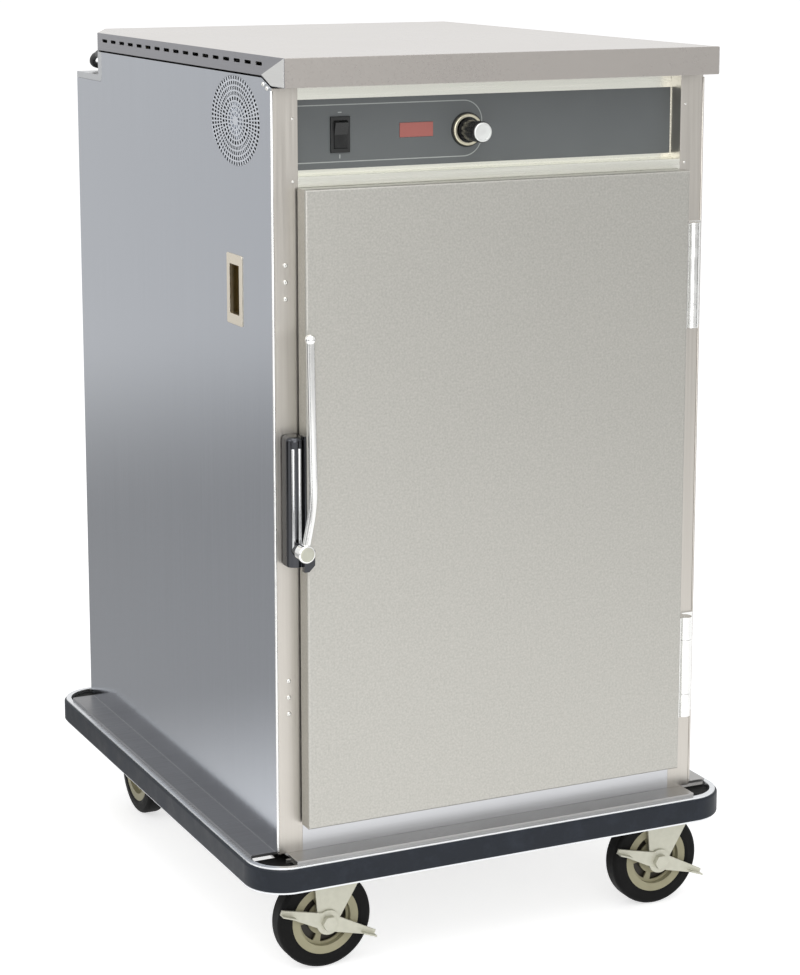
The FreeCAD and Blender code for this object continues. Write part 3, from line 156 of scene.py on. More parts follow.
# Grain lines are about 0.1 mm wide on the real sheet, too fine for the render, so they are drawn
# 2 to 4 mm wide. Sizes are in mm along X, Y and Z.
uprightGrain = (2.381, 2.381, 166.7)
acrossGrain = (166.7, 2.381, 2.381)
alongGrain = (2.381, 166.7, 2.381)
orbitalGrain = (2.6316, 2.6316, 2.6316)
polishGrain = (3.846, 3.846, 333.3)
turnedGrain = (3.333, 3.333, 3.333)
sheets = {
    "polished stainless side sheet": (  # near mirror: floor and room show as long soft bands
        {"grainMm": polishGrain, "dark": "a9adb4", "light": "b2b6bd", "rough": 0.15, "spread": 0.02,
         "cloudMm": 240, "edgeMm": 0.6, "bump": 0.02},
        ("side_panel_left", "side_panel_right")),
    "punched stainless vent sheet": (  # brighter, with light on the edge of each hole
        {"grainMm": polishGrain, "dark": "c6cad1", "light": "d2d6dc", "rough": 0.22, "spread": 0.02,
         "cloudMm": 40, "edgeMm": 0.6, "bump": 0.02},
        ("vent_grille",)),
    "satin stainless cover sheet": (  # even and pale; painted shade makes the front fold and the left side lip a tone darker
        {"grainMm": alongGrain, "dark": "c6c2be", "light": "d0ccc8", "rough": 0.30, "spread": 0.03,
         "cloudMm": 180, "edgeMm": 0.9, "bump": 0.05,
         "faces": (("Y", -412.0, -410.0, "b9b4af"), ("X", -310.4, -309.6, "8f8f93"))},
        ("top_cover",)),
    "orbital ground stainless door sheet": (  # matt grey with a fine linen look
        {"grainMm": orbitalGrain, "dark": "9d9c96", "light": "c7c5bf", "rough": 0.42, "spread": 0.02,
         "cloudMm": 200, "edgeMm": 1.2, "bump": 0.05},
        ("door_skin",)),
    "brushed stainless frame sheet": (  # warm grey with soft upright streaks
        {"grainMm": uprightGrain, "dark": "bbb6af", "light": "c8c4bd", "rough": 0.34, "spread": 0.05,
         "cloudMm": 120, "edgeMm": 0.9, "bump": 0.08},
        ("front_stiles",)),
    "bright stainless sill": (  # pale and dull, lit from the floor
        {"grainMm": acrossGrain, "dark": "c2c3c6", "light": "cecfd2", "rough": 0.36, "spread": 0.03,
         "cloudMm": 120, "edgeMm": 0.9, "bump": 0.05},
        ("bottom_rail",)),
    "bright stainless panel trim": (  # the palest sheet, nearly white
        {"grainMm": acrossGrain, "dark": "ecece2", "light": "f4f4ea", "rough": 0.26, "spread": 0.03,
         "cloudMm": 150, "edgeMm": 0.6, "bump": 0.04},
        ("header_rail", "control_fascia")),
    "satin stainless back sheet": (  # plain cool grey
        {"grainMm": uprightGrain, "dark": "b6b8ba", "light": "c2c4c6", "rough": 0.32, "spread": 0.05,
         "cloudMm": 260, "edgeMm": 0.6, "bump": 0.05},
        ("back_panel", "rear_step")),
    "mill finish stainless liner": (  # dull and cloudy
        {"grainMm": uprightGrain, "dark": "b4b4b2", "light": "c2c2c0", "rough": 0.36, "spread": 0.06,
         "cloudMm": 160, "edgeMm": 0.6, "bump": 0.05},
        ("cavity_liner", "door_liner", "pan_slides", "latch_strike")),
    "satin stainless base plate": (  # handled and darker; painted shade makes the left lip darkest
        {"grainMm": acrossGrain, "dark": "a6a5a3", "light": "b4b3b1", "rough": 0.36, "spread": 0.07,
         "cloudMm": 70, "edgeMm": 0.9, "bump": 0.08, "faces": (("X", -313.0, -309.0, "7e7e80"),)},
        ("base_frame",)),
    "satin stainless pull pressing": (  # bright warm rims; painted shade darkens the left pull's pocket, the right pull's outer rim is one flat tone
        {"grainMm": uprightGrain, "dark": "dad1c0", "light": "e9e1d0", "rough": 0.30, "spread": 0.05,
         "cloudMm": 40, "edgeMm": 1.2, "bump": 0.05,
         "faces": (("X", -305.5, -309.0, "86795a"), ("X", 309.0, 306.5, "ddd4c3"))},
        ("flush_pulls",)),
    "extruded aluminium bumper rail": (  # pale, drawn lines along its length
        {"grainMm": acrossGrain, "dark": "d8dadd", "light": "e6e8ea", "rough": 0.30, "spread": 0.05,
         "cloudMm": 90, "edgeMm": 0.8, "bump": 0.05},
        ("bumper_rail",)),
    "turned aluminium dial ring": (  # warm and pale, faint turning marks
        {"grainMm": turnedGrain, "dark": "cdc8b2", "light": "dcd7c2", "rough": 0.34, "spread": 0.04,
         "cloudMm": 20, "edgeMm": 0.6, "bump": 0.03},
        ("dial_ring",)),
}
sheetMaterials = {}
for name, (kit, targets) in sheets.items():
    sheetMaterials[name] = stainlessSheet(name, kit)
    paint(sheetMaterials[name], *targets)
print("sheet metals made")


# Chrome plate: near mirror, with a breath of dust that dulls it in patches
chromeDust = {"patchMm": 14.0, "dulling": 2.2, "edgeMm": 1.0}


def chromePlate(name, colour, rough):
    material, tree, shader = newMaterial(name)
    coords = addNode(tree, "ShaderNodeTexCoord").outputs["Object"]
    dust = addNode(tree, "ShaderNodeTexNoise", {
        "Vector": coords, "Scale": 1 / (chromeDust["patchMm"] * mm), "Detail": 4.0})
    dull = addNode(tree, "ShaderNodeMapRange", {
        "Value": dust.outputs["Fac"], "From Min": 0.35, "From Max": 0.75,
        "To Min": rough, "To Max": rough * chromeDust["dulling"]})
    edge = addNode(tree, "ShaderNodeBevel", {"Radius": chromeDust["edgeMm"] * mm}, samples=4)
    tree.links.new(dull.outputs["Result"], shader.inputs["Roughness"])
    tree.links.new(edge.outputs["Normal"], shader.inputs["Normal"])
    shader.inputs["Base Color"].default_value = hexColour(colour)
    shader.inputs["Metallic"].default_value = 1.0
    return material


hingeChrome = chromePlate("chromed hinge casting", "e8e8e6", 0.16)  # bright, softened by its cast skin
latchChrome = chromePlate("smoked chrome latch casting", "46474a", 0.09)  # a dark mirror
leverChrome = chromePlate("chromed steel rod", "e8e8e6", 0.07)  # a clear mirror
steelBright = chromePlate("bright zinc fastener", "dcdcd8", 0.18)  # small bright heads
paint(hingeChrome, "hinge_frame_leaves", "hinge_door_leaves", "hinge_pins")
paint(latchChrome, "latch_body")
paint(leverChrome, "latch_lever")


# Zinc plate with a chromate film: pale, slightly yellow, soft spangle and a dull sheen
zincFilm = {"spangleMm": 9.0, "sheenSpread": 0.06, "edgeMm": 0.8}


def zincPlate(name, dark, light, rough):
    material, tree, shader = newMaterial(name)
    coords = addNode(tree, "ShaderNodeTexCoord").outputs["Object"]
    spangle = addNode(tree, "ShaderNodeTexNoise", {
        "Vector": coords, "Scale": 1 / (zincFilm["spangleMm"] * mm), "Detail": 5.0}).outputs["Fac"]
    shade = addNode(tree, "ShaderNodeMix", {
        "Factor": spangle, "A": hexColour(dark), "B": hexColour(light)}, data_type="RGBA")
    spread = zincFilm["sheenSpread"]
    sheen = addNode(tree, "ShaderNodeMapRange", {
        "Value": spangle, **noiseSpan, "To Min": rough - spread, "To Max": rough + spread})
    edge = addNode(tree, "ShaderNodeBevel", {"Radius": zincFilm["edgeMm"] * mm}, samples=4)
    tree.links.new(shade.outputs["Result"], shader.inputs["Base Color"])
    tree.links.new(sheen.outputs["Result"], shader.inputs["Roughness"])
    tree.links.new(edge.outputs["Normal"], shader.inputs["Normal"])
    shader.inputs["Metallic"].default_value = 0.35
    return material


casterZinc = zincPlate("chromated zinc plate", "bfbeae", "d6d5c6", 0.42)  # pale, a little yellow
paint(casterZinc, "caster_plates", "front_fork_left", "front_fork_right", "front_axle_left",
      "front_axle_right", "brake_pedal_left", "brake_pedal_right", "rear_forks")
blowerZinc = zincPlate("galvanised blower steel", "9a9d9f", "b4b7b8", 0.45)  # plain grey
paint(blowerZinc, "blower_motor", "blower_wheel")
heatStained = zincPlate("heat stained alloy sheath", "4a423a", "6a6058", 0.5)  # browned by heat
paint(heatStained, "heater_element")


# Moulded plastic and rubber: a dull skin with fine tool texture, scuffed lighter in places
skinWear = {"scuffMm": 35.0, "scuff": 0.35, "sheenSpread": 0.08, "depthMm": 0.2}


def mouldedSkin(name, colour, worn, rough, grainMm, bump, gloss=0.5):
    material, tree, shader = newMaterial(name)
    coords = addNode(tree, "ShaderNodeTexCoord").outputs["Object"]
    grain = addNode(tree, "ShaderNodeTexNoise", {
        "Vector": coords, "Scale": 1 / (grainMm * mm), "Detail": 3.0})
    marks = addNode(tree, "ShaderNodeTexNoise", {
        "Vector": coords, "Scale": 1 / (skinWear["scuffMm"] * mm), "Detail": 6.0,
        "Roughness": 0.7}).outputs["Fac"]
    wear = addNode(tree, "ShaderNodeMapRange", {
        "Value": marks, "From Min": 0.48, "From Max": 0.78, "To Min": 0.0, "To Max": skinWear["scuff"]})
    shade = addNode(tree, "ShaderNodeMix", {
        "Factor": wear.outputs["Result"], "A": hexColour(colour), "B": hexColour(worn)},
        data_type="RGBA")
    spread = skinWear["sheenSpread"]
    sheen = addNode(tree, "ShaderNodeMapRange", {
        "Value": marks, **noiseSpan, "To Min": rough - spread, "To Max": rough + spread})
    relief = addNode(tree, "ShaderNodeBump", {
        "Strength": bump, "Distance": skinWear["depthMm"] * mm, "Height": grain.outputs["Fac"]})
    tree.links.new(shade.outputs["Result"], shader.inputs["Base Color"])
    tree.links.new(sheen.outputs["Result"], shader.inputs["Roughness"])
    tree.links.new(relief.outputs["Normal"], shader.inputs["Normal"])
    shader.inputs["Specular IOR Level"].default_value = gloss
    return material


# Vinyl: deep blue-black with a low sheen. Tyre rubber: matt black.
bumperVinyl = mouldedSkin("extruded navy vinyl", "1a1f27", "3a404b", 0.48, 1.2, 0.10, gloss=0.25)
paint(bumperVinyl, "bumper_strip")
tyreRubber = mouldedSkin("moulded black rubber tyre", "0a0a0a", "181716", 0.62, 1.5, 0.15, gloss=0.15)
paint(tyreRubber, "front_tyre_left", "front_tyre_right", "rear_tyre_left", "rear_tyre_right")
# Nylon and phenolic: black with a soft highlight, glossier where fingers press
blackNylon = mouldedSkin("moulded black nylon", "161717", "2e3030", 0.38, 0.8, 0.10)
paint(blackNylon, "switch_bezel", "thermostat", "fan_frame", "fan_rotor", "cord_gland")
rockerNylon = mouldedSkin("polished black nylon rocker", "141515", "303232", 0.24, 0.8, 0.05)
paint(rockerNylon, "rocker")
knobPhenolic = mouldedSkin("moulded phenolic knob", "121213", "2c2c2d", 0.26, 0.8, 0.05)
paint(knobPhenolic, "knob")
# Lead and seal: dull and dark. Breaker strip: plain mid grey.
cordRubber = mouldedSkin("moulded rubber lead", "131313", "2b2b2b", 0.50, 1.0, 0.12)
paint(cordRubber, "power_plug", "cord_lead", "cord_hank")
gasketSilicone = mouldedSkin("extruded silicone seal", "1c1c1d", "343435", 0.50, 1.0, 0.08)
paint(gasketSilicone, "door_gasket")
jambPlastic = mouldedSkin("extruded breaker strip", "8b8b89", "a2a2a0", 0.45, 1.0, 0.05)
paint(jambPlastic, "jamb_strips")


# Glass fibre batt: matted yellow fibres seen only through openings
glassFibre = mouldedSkin("matted glass fibre batt", "c8b266", "dccb90", 0.92, 2.5, 0.6)
paint(glassFibre, "wall_insulation", "door_core")


# Moulded nylon wheel centre: cream, with painted shade darkening the middle of the web, where its pockets
# are
hubNylon = {"cream": "9a9578", "pale": "aca78b", "pocketShade": "2b261b", "pocketMm": 4.0, "fadeMm": 2.0,
            "cloudMm": 18.0, "sheen": (0.42, 0.62)}


def wheelNylon(name, centre, axis):
    material, tree, shader = newMaterial(name)
    coords = addNode(tree, "ShaderNodeTexCoord").outputs["Object"]
    parts = addNode(tree, "ShaderNodeSeparateXYZ", {"Vector": coords})
    away = addNode(tree, "ShaderNodeMath", {0: parts.outputs[axis], 1: centre}, operation="SUBTRACT")
    depth = addNode(tree, "ShaderNodeMath", {0: away.outputs["Value"]}, operation="ABSOLUTE")
    floor = addNode(tree, "ShaderNodeMapRange", {
        "Value": depth.outputs["Value"], "From Min": hubNylon["pocketMm"] * mm,
        "From Max": (hubNylon["pocketMm"] + hubNylon["fadeMm"]) * mm, "To Min": 1.0, "To Max": 0.0})
    cloud = addNode(tree, "ShaderNodeTexNoise", {
        "Vector": coords, "Scale": 1 / (hubNylon["cloudMm"] * mm), "Detail": 4.0}).outputs["Fac"]
    skin = addNode(tree, "ShaderNodeMix", {
        "Factor": cloud, "A": hexColour(hubNylon["cream"]), "B": hexColour(hubNylon["pale"])},
        data_type="RGBA")
    # painted shade over the pockets, within a set depth of the hub's middle
    shade = addNode(tree, "ShaderNodeMix", {
        "Factor": floor.outputs["Result"], "A": skin.outputs["Result"],
        "B": hexColour(hubNylon["pocketShade"])}, data_type="RGBA")
    smooth, dull = hubNylon["sheen"]
    sheen = addNode(tree, "ShaderNodeMapRange", {"Value": cloud, "To Min": smooth, "To Max": dull})
    tree.links.new(shade.outputs["Result"], shader.inputs["Base Color"])
    tree.links.new(sheen.outputs["Result"], shader.inputs["Roughness"])
    return material


for side in ("left", "right"):
    low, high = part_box("front_hub_" + side)
    paint(wheelNylon("moulded cream nylon front " + side, (low[1] + high[1]) / 2, "Y"), "front_hub_" + side)
    low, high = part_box("rear_hub_" + side)
    paint(wheelNylon("moulded cream nylon rear " + side, (low[0] + high[0]) / 2, "X"), "rear_hub_" + side)


# Printed polycarbonate film: even slate grey, fine velvet texture
filmFace = {"velvetMm": 1.2, "cloudMm": 90.0, "sheenSpread": 0.05, "bump": 0.06, "depthMm": 0.1}


def printedFilm(name, colour, pale, rough):
    material, tree, shader = newMaterial(name)
    coords = addNode(tree, "ShaderNodeTexCoord").outputs["Object"]
    grain = addNode(tree, "ShaderNodeTexNoise", {
        "Vector": coords, "Scale": 1 / (filmFace["velvetMm"] * mm), "Detail": 2.0})
    cloud = addNode(tree, "ShaderNodeTexNoise", {
        "Vector": coords, "Scale": 1 / (filmFace["cloudMm"] * mm), "Detail": 2.0}).outputs["Fac"]
    shade = addNode(tree, "ShaderNodeMix", {
        "Factor": cloud, "A": hexColour(colour), "B": hexColour(pale)}, data_type="RGBA")
    spread = filmFace["sheenSpread"]
    sheen = addNode(tree, "ShaderNodeMapRange", {
        "Value": cloud, "To Min": rough - spread, "To Max": rough + spread})
    relief = addNode(tree, "ShaderNodeBump", {
        "Strength": filmFace["bump"], "Distance": filmFace["depthMm"] * mm,
        "Height": grain.outputs["Fac"]})
    tree.links.new(shade.outputs["Result"], shader.inputs["Base Color"])
    tree.links.new(sheen.outputs["Result"], shader.inputs["Roughness"])
    tree.links.new(relief.outputs["Normal"], shader.inputs["Normal"])
    return material


overlayFilm = printedFilm("printed polycarbonate film", "5c6061", "666a6b", 0.45)
paint(overlayFilm, "control_overlay")
displayFilter = printedFilm("red acrylic filter", "a5605a", "af6a62", 0.30)
paint(displayFilter, "display_window")
print("all nodes have their materials")

# Places read from the frame
stileLow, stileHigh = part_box("front_stiles")
coverLow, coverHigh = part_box("top_cover")
body = {
    "left": stileLow[0], "right": stileHigh[0], "front": stileLow[1],
    "sill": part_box("door_skin")[0][2], "coverFront": coverLow[1], "coverTop": coverHigh[2],
}


# Modelling helpers, each one step of the work by hand
def startRound(name, radius, sides):
    bpy.ops.object.select_all(action="DESELECT")
    bpy.ops.mesh.primitive_circle_add(vertices=sides, radius=radius, fill_type="NGON")
    return openPiece(name)


def startSheet(name, width, height):
    bpy.ops.object.select_all(action="DESELECT")
    bpy.ops.mesh.primitive_plane_add(size=1.0)
    piece = openPiece(name)
    bpy.ops.transform.resize(value=(width, height, 1.0))
    return piece


def openPiece(name):
    piece = bpy.context.object
    piece.name = name
    piece.data.name = name
    bpy.ops.object.mode_set(mode="EDIT")
    bpy.ops.mesh.select_all(action="SELECT")
    return piece


def pull(distance, scale=1.0):
    bpy.ops.mesh.extrude_region_move(TRANSFORM_OT_translate={"value": (0, 0, distance)})
    if scale != 1.0:
        bpy.ops.transform.resize(value=(scale, scale, 1.0))


def closePiece(piece, smooth=35):
    bpy.ops.mesh.select_all(action="SELECT")
    bpy.ops.mesh.normals_make_consistent(inside=False)
    bpy.ops.object.mode_set(mode="OBJECT")
    bpy.ops.object.shade_smooth_by_angle(angle=math.radians(smooth))
    return piece


def facing(direction, place, turn=0.0):
    aim = Vector(direction).to_track_quat("Z", "Y").to_matrix().to_4x4()
    return Matrix.Translation(Vector(place)) @ aim @ Matrix.Rotation(turn, 4, "Z")


def setOut(master, name, places):
    made = []
    for place in places:
        copy = master.copy()
        copy.data = master.data.copy()
        copy.data.transform(place)
        bpy.context.scene.collection.objects.link(copy)
        made.append(copy)
    bpy.data.objects.remove(master)
    bpy.ops.object.select_all(action="DESELECT")
    for copy in made:
        copy.select_set(True)
    bpy.context.view_layer.objects.active = made[0]
    if len(made) > 1:
        bpy.ops.object.join()
    made[0].name = name
    made[0].data.name = name
    return made[0]


def dress(piece, material, rider):
    piece.data.materials.clear()
    piece.data.materials.append(material)
    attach(piece, rider)


toFront = (0, -1, 0)
toLeft = (-1, 0, 0)
toRight = (1, 0, 0)
toBack = (0, 1, 0)


# Screws: a low dome with a round recess, modelled once for each size and set out in rows.
# Steps are shares of the height, each with how far it narrows.
screwHead = {"sides": 18, "steps": ((0.45, 1.0), (0.35, 0.86), (0.20, 0.72)), "rim": 0.22, "recess": 0.35}


def domeScrew(radius, height):
    piece = startRound("screwMaster", radius, screwHead["sides"])
    for rise, narrow in screwHead["steps"]:
        pull(height * rise, narrow)
    bpy.ops.mesh.inset(thickness=radius * screwHead["rim"])
    pull(-height * screwHead["recess"])
    return closePiece(piece, 50)


def setScrews(name, kit, places):
    screws = setOut(domeScrew(kit["radius"], kit["height"]), name, places)
    dress(screws, steelBright, "cabinet")


stileScrews = {"radius": 3.1 * mm, "height": 1.9 * mm, "inset": 15.8 * mm,
               "rows": (150.5, 172.6, 194.5, 691.2, 712.5, 733.8)}


def makeStileScrews(kit):
    x = body["left"] + kit["inset"]
    places = [facing(toFront, (x, body["front"], body["sill"] + up * mm)) for up in kit["rows"]]
    setScrews("stileScrews", kit, places)


makeStileScrews(stileScrews)

panelRivets = {"radius": 1.8 * mm, "height": 0.9 * mm, "inset": 27.0 * mm, "rows": (838.0, 916.0)}


def makePanelRivets(kit):
    places = []
    for x in (body["left"] + kit["inset"], body["right"] - kit["inset"]):
        places += [facing(toFront, (x, body["front"], body["sill"] + up * mm)) for up in kit["rows"]]
    setScrews("panelRivets", kit, places)


makePanelRivets(panelRivets)

hingeScrews = {"radius": 3.4 * mm, "height": 1.6 * mm, "fromEdge": 6.5 * mm, "leaf": 3.0 * mm,
               "leafHigh": 142.0 * mm, "spread": 52.0 * mm}


def makeHingeScrews(kit):
    low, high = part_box("hinge_frame_leaves")
    x, y = high[0] - kit["fromEdge"], body["front"] - kit["leaf"]
    places = []
    for middle in (low[2] + kit["leafHigh"] / 2, high[2] - kit["leafHigh"] / 2):
        for step in (-1, 0, 1):
            places.append(facing(toFront, (x, y, middle + step * kit["spread"])))
    setScrews("hingeScrews", kit, places)


makeHingeScrews(hingeScrews)

backScrews = {"radius": 4.2 * mm, "height": 2.0 * mm, "inset": 11.0 * mm, "rows": 7, "columns": 5}


def makeBackScrews(kit):
    low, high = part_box("back_panel")
    left, right = low[0] + kit["inset"], high[0] - kit["inset"]
    bottom, top = low[2] + kit["inset"], high[2] - kit["inset"]
    places = []
    for i in range(kit["rows"]):
        z = bottom + (top - bottom) * i / (kit["rows"] - 1)
        for x in (left, right):
            places.append(facing(toBack, (x, high[1], z)))
    for i in range(1, kit["columns"] - 1):
        x = left + (right - left) * i / (kit["columns"] - 1)
        for z in (bottom, top):
            places.append(facing(toBack, (x, high[1], z)))
    setScrews("backScrews", kit, places)


makeBackScrews(backScrews)
print("screws set")


# Corner beads: the fold where frame and sides meet, polished bright on the left as a painted highlight
cornerBead = {"radius": 1.7 * mm, "out": 0.5 * mm, "endGap": 3.0 * mm, "endRound": 0.68 * mm}


def makeCornerBeads(kit):
    low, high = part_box("front_stiles")
    piece = startRound("beadMaster", kit["radius"], 14)
    pull(high[2] - low[2] - 2 * kit["endGap"])
    bpy.ops.mesh.bevel(offset=kit["endRound"], segments=2, affect="EDGES")
    closePiece(piece, 60)
    y, z = low[1] + kit["out"], low[2] + kit["endGap"]
    twin = piece.copy()
    twin.data = piece.data.copy()
    left = Matrix.Translation((low[0] - kit["out"], y, z))
    right = Matrix.Translation((high[0] + kit["out"], y, z))
    # the left bead is brighter than the right one, a painted highlight along the lit corner
    dress(setOut(piece, "cornerBeadLeft", [left]), litSideBeadPolish, "cabinet")
    satin = sheetMaterials["brushed stainless frame sheet"]
    dress(setOut(twin, "cornerBeadRight", [right]), satin, "cabinet")


litSideBeadPolish = chromePlate("polished stainless fold", "e9e9e7", 0.22)
makeCornerBeads(cornerBead)

# Mitre gussets: the bright triangular ends of the visor, each held by two bolts
gusset = {"thick": 0.8 * mm, "back": 70.0 * mm, "high": 35.0 * mm, "toe": 12.0 * mm, "heel": 40.0 * mm,
          "drop": 0.6 * mm}
gussetBolts = {"radius": 3.2 * mm, "height": 2.6 * mm, "spots": ((52.0, -39.0), (64.0, -34.5))}


def makeGussets(kit, bolts):
    back, high, toe, heel = kit["back"], kit["high"], kit["toe"], kit["heel"]
    piece = startSheet("gussetMaster", back, high)
    bpy.ops.transform.translate(value=(back / 2, -high / 2, 0))
    bpy.ops.mesh.bisect(plane_co=(0, 0, 0), plane_no=(high - toe, back, 0), clear_outer=True)
    bpy.ops.mesh.select_all(action="SELECT")
    bpy.ops.mesh.bisect(plane_co=(heel, -high, 0), plane_no=(toe, heel - back, 0), clear_outer=True)
    bpy.ops.mesh.select_all(action="SELECT")
    pull(kit["thick"])
    closePiece(piece)
    y, z = body["coverFront"], body["coverTop"] - kit["drop"]
    leftTurn = Matrix(((0, 0, -1, 0), (1, 0, 0, 0), (0, 1, 0, 0), (0, 0, 0, 1)))
    rightTurn = Matrix.Scale(-1, 4, (1, 0, 0)) @ leftTurn
    places = []
    for x, turn in ((body["left"], leftTurn), (body["right"], rightTurn)):
        places.append(Matrix.Translation((x, y, z)) @ turn)
    plates = setOut(piece, "mitreGussets", places)
    bpy.ops.object.mode_set(mode="EDIT")
    closePiece(plates)  # the right one is mirrored, so its faces are turned out again
    dress(plates, gussetSteel, "cabinet")
    places = []
    for x, side in ((body["left"], toLeft), (body["right"], toRight)):
        for behind, up in bolts["spots"]:
            places.append(facing(side, (x, y + behind * mm, z + up * mm)))
    setScrews("gussetBolts", bolts, places)


gussetSteel = stainlessSheet("bright stainless gusset", {
    "grainMm": alongGrain, "dark": "d2d2d0", "light": "dededc", "rough": 0.38, "spread": 0.03,
    "cloudMm": 60, "edgeMm": 0.6, "bump": 0.03})
makeGussets(gusset, gussetBolts)
print("beads and gussets made")

# Corner pads: black rubber pieces behind the rounded corners of the bumper, painted shade that fills the
# open corners of the base
cornerShadePad = {"radius": 43.6 * mm, "thick": 3.0 * mm, "drop": 5.0 * mm, "past": 4.0 * mm,
             "round": 0.6 * mm, "fromRail": 51.5 * mm}


def makeCornerShadePads(kit):
    low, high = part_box("bumper_rail")
    piece = startRound("padMaster", kit["radius"], 64)
    bpy.ops.mesh.bisect(plane_co=(kit["past"], 0, 0), plane_no=(1, 0, 0), clear_outer=True)
    bpy.ops.mesh.select_all(action="SELECT")
    bpy.ops.mesh.bisect(plane_co=(0, kit["past"], 0), plane_no=(0, 1, 0), clear_outer=True)
    bpy.ops.mesh.select_all(action="SELECT")
    pull(-kit["thick"])
    bpy.ops.mesh.select_all(action="SELECT")
    bpy.ops.mesh.bevel(offset=kit["round"], segments=2, affect="EDGES")
    closePiece(piece)
    inset, z = kit["fromRail"], high[2] - kit["drop"]
    corners = ((low[0] + inset, low[1] + inset), (high[0] - inset, low[1] + inset),
               (high[0] - inset, high[1] - inset), (low[0] + inset, high[1] - inset))
    places = []
    for i, (x, y) in enumerate(corners):
        places.append(Matrix.Translation((x, y, z)) @ Matrix.Rotation(i * math.pi / 2, 4, "Z"))
    dress(setOut(piece, "cornerShadePads", places), tyreRubber, "cabinet")


makeCornerShadePads(cornerShadePad)
print("corner pads made")


# Control panel: knob cap, black ring round the dial, printed border and switch marks.
# A cap's steps are shares of its thickness, each with how far it narrows.
def turnedCap(name, kit):
    piece = startRound(name, kit["radius"], kit["sides"])
    for rise, narrow in kit["steps"]:
        pull(kit["thick"] * rise, narrow)
    bpy.ops.mesh.inset(thickness=kit["lip"])
    pull(-kit["dish"])
    return closePiece(piece)


knobCap = {"radius": 12.4 * mm, "thick": 1.6 * mm, "lip": 1.5 * mm, "dish": 0.4 * mm, "sides": 48,
           "steps": ((0.7, 1.0), (0.3, 0.94))}


def makeKnobCap(kit):
    low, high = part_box("knob")
    piece = turnedCap("knobCap", kit)
    place = facing(toFront, ((low[0] + high[0]) / 2, low[1], (low[2] + high[2]) / 2))
    dress(setOut(piece, "knobCap", [place]), capSilver, "control_knob")


capSilver = chromePlate("spun aluminium cap", "d6d8d6", 0.30)
makeKnobCap(knobCap)

blackDialRing = {"inner": 20.4 * mm, "outer": 22.6 * mm, "thick": 1.6 * mm, "taper": 0.985}


def makeBlackDialRing(kit):
    low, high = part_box("dial_ring")
    piece = startRound("blackDialRing", kit["outer"], 64)
    bpy.ops.mesh.inset(thickness=kit["outer"] - kit["inner"])
    bpy.ops.mesh.delete(type="FACE")
    bpy.ops.mesh.select_all(action="SELECT")
    pull(kit["thick"], kit["taper"])
    closePiece(piece)
    place = facing(toFront, ((low[0] + high[0]) / 2, high[1], (low[2] + high[2]) / 2))
    dress(setOut(piece, "blackDialRing", [place]), blackNylon, "cabinet")


makeBlackDialRing(blackDialRing)

panelPrint = {"line": 1.2 * mm, "thick": 0.15 * mm, "fromLeft": 2.0 * mm, "toRight": 268.0 * mm,
              "high": 73.0 * mm, "round": 27.0 * mm, "lift": 0.5 * mm,
              "dash": (5.0 * mm, 1.4 * mm), "dashGap": 5.0 * mm}


def makePanelPrint(kit):
    low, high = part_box("control_overlay")
    width = kit["toRight"] - kit["fromLeft"]
    border = startSheet("panelBorder", width, kit["high"])
    mesh = border.data
    bpy.ops.mesh.select_mode(type="VERT")
    bpy.ops.mesh.select_all(action="DESELECT")
    bpy.ops.object.mode_set(mode="OBJECT")
    for point in mesh.vertices:
        point.select = point.co.x > 0
    bpy.ops.object.mode_set(mode="EDIT")
    bpy.ops.mesh.bevel(offset=kit["round"], segments=14, affect="VERTICES")
    bpy.ops.mesh.select_mode(type="FACE")
    bpy.ops.mesh.select_all(action="SELECT")
    bpy.ops.mesh.inset(thickness=kit["line"])
    bpy.ops.mesh.delete(type="FACE")
    bpy.ops.mesh.select_all(action="SELECT")
    pull(kit["thick"])
    closePiece(border)
    middle = (low[2] + high[2]) / 2 + kit["lift"]
    place = facing(toFront, (low[0] + kit["fromLeft"] + width / 2, low[1], middle))
    dress(setOut(border, "panelBorder", [place]), printInk, "cabinet")
    dash = startSheet("markMaster", *kit["dash"])
    pull(kit["thick"])
    closePiece(dash)
    boxLow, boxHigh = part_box("switch_bezel")
    x, gap = (boxLow[0] + boxHigh[0]) / 2, kit["dashGap"]
    places = [
        facing(toFront, (x, low[1], boxHigh[2] + gap)),
        facing(toFront, (x, low[1], boxLow[2] - gap), math.pi / 2),
    ]
    dress(setOut(dash, "switchMarks", places), printInk, "cabinet")


printInk = printedFilm("pale screen ink", "a3a7a5", "b1b5b3", 0.5)
makePanelPrint(panelPrint)
print("control panel finished")

# Latch: ribs on the casting, a brighter chrome than it as painted highlights, and a pale cap on the lever's
# pivot
latchRibs = {"radius": 2.3 * mm, "endRound": 1.15 * mm, "sink": 0.9 * mm, "proud": 27.0 * mm,
             "foot": 30.0 * mm, "top": 14.0 * mm, "inset": (5.5 * mm, 14.0 * mm)}


def makeLatchRibs(kit):
    low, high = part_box("latch_body")
    y, z = body["front"] - kit["proud"] + kit["sink"], low[2] + kit["foot"]
    height = high[2] - low[2] - kit["foot"] - kit["top"]
    piece = startRound("ribMaster", kit["radius"], 16)
    pull(height)
    bpy.ops.mesh.bevel(offset=kit["endRound"], segments=2, affect="EDGES")
    closePiece(piece, 60)
    places = [Matrix.Translation((low[0] + x, y, z)) for x in kit["inset"]]
    dress(setOut(piece, "latchRibs", places), ribHighlightChrome, "door")


ribHighlightChrome = chromePlate("bright chrome latch rib", "c6c7c8", 0.10)
makeLatchRibs(latchRibs)

leverCap = {"radius": 10.4 * mm, "thick": 1.4 * mm, "proud": 0.1 * mm, "lip": 3.0 * mm, "dish": 0.05 * mm,
            "sides": 36, "steps": ((0.6, 1.0), (0.4, 0.88)), "pivotIn": 20.0 * mm, "hubRadius": 11.5 * mm}


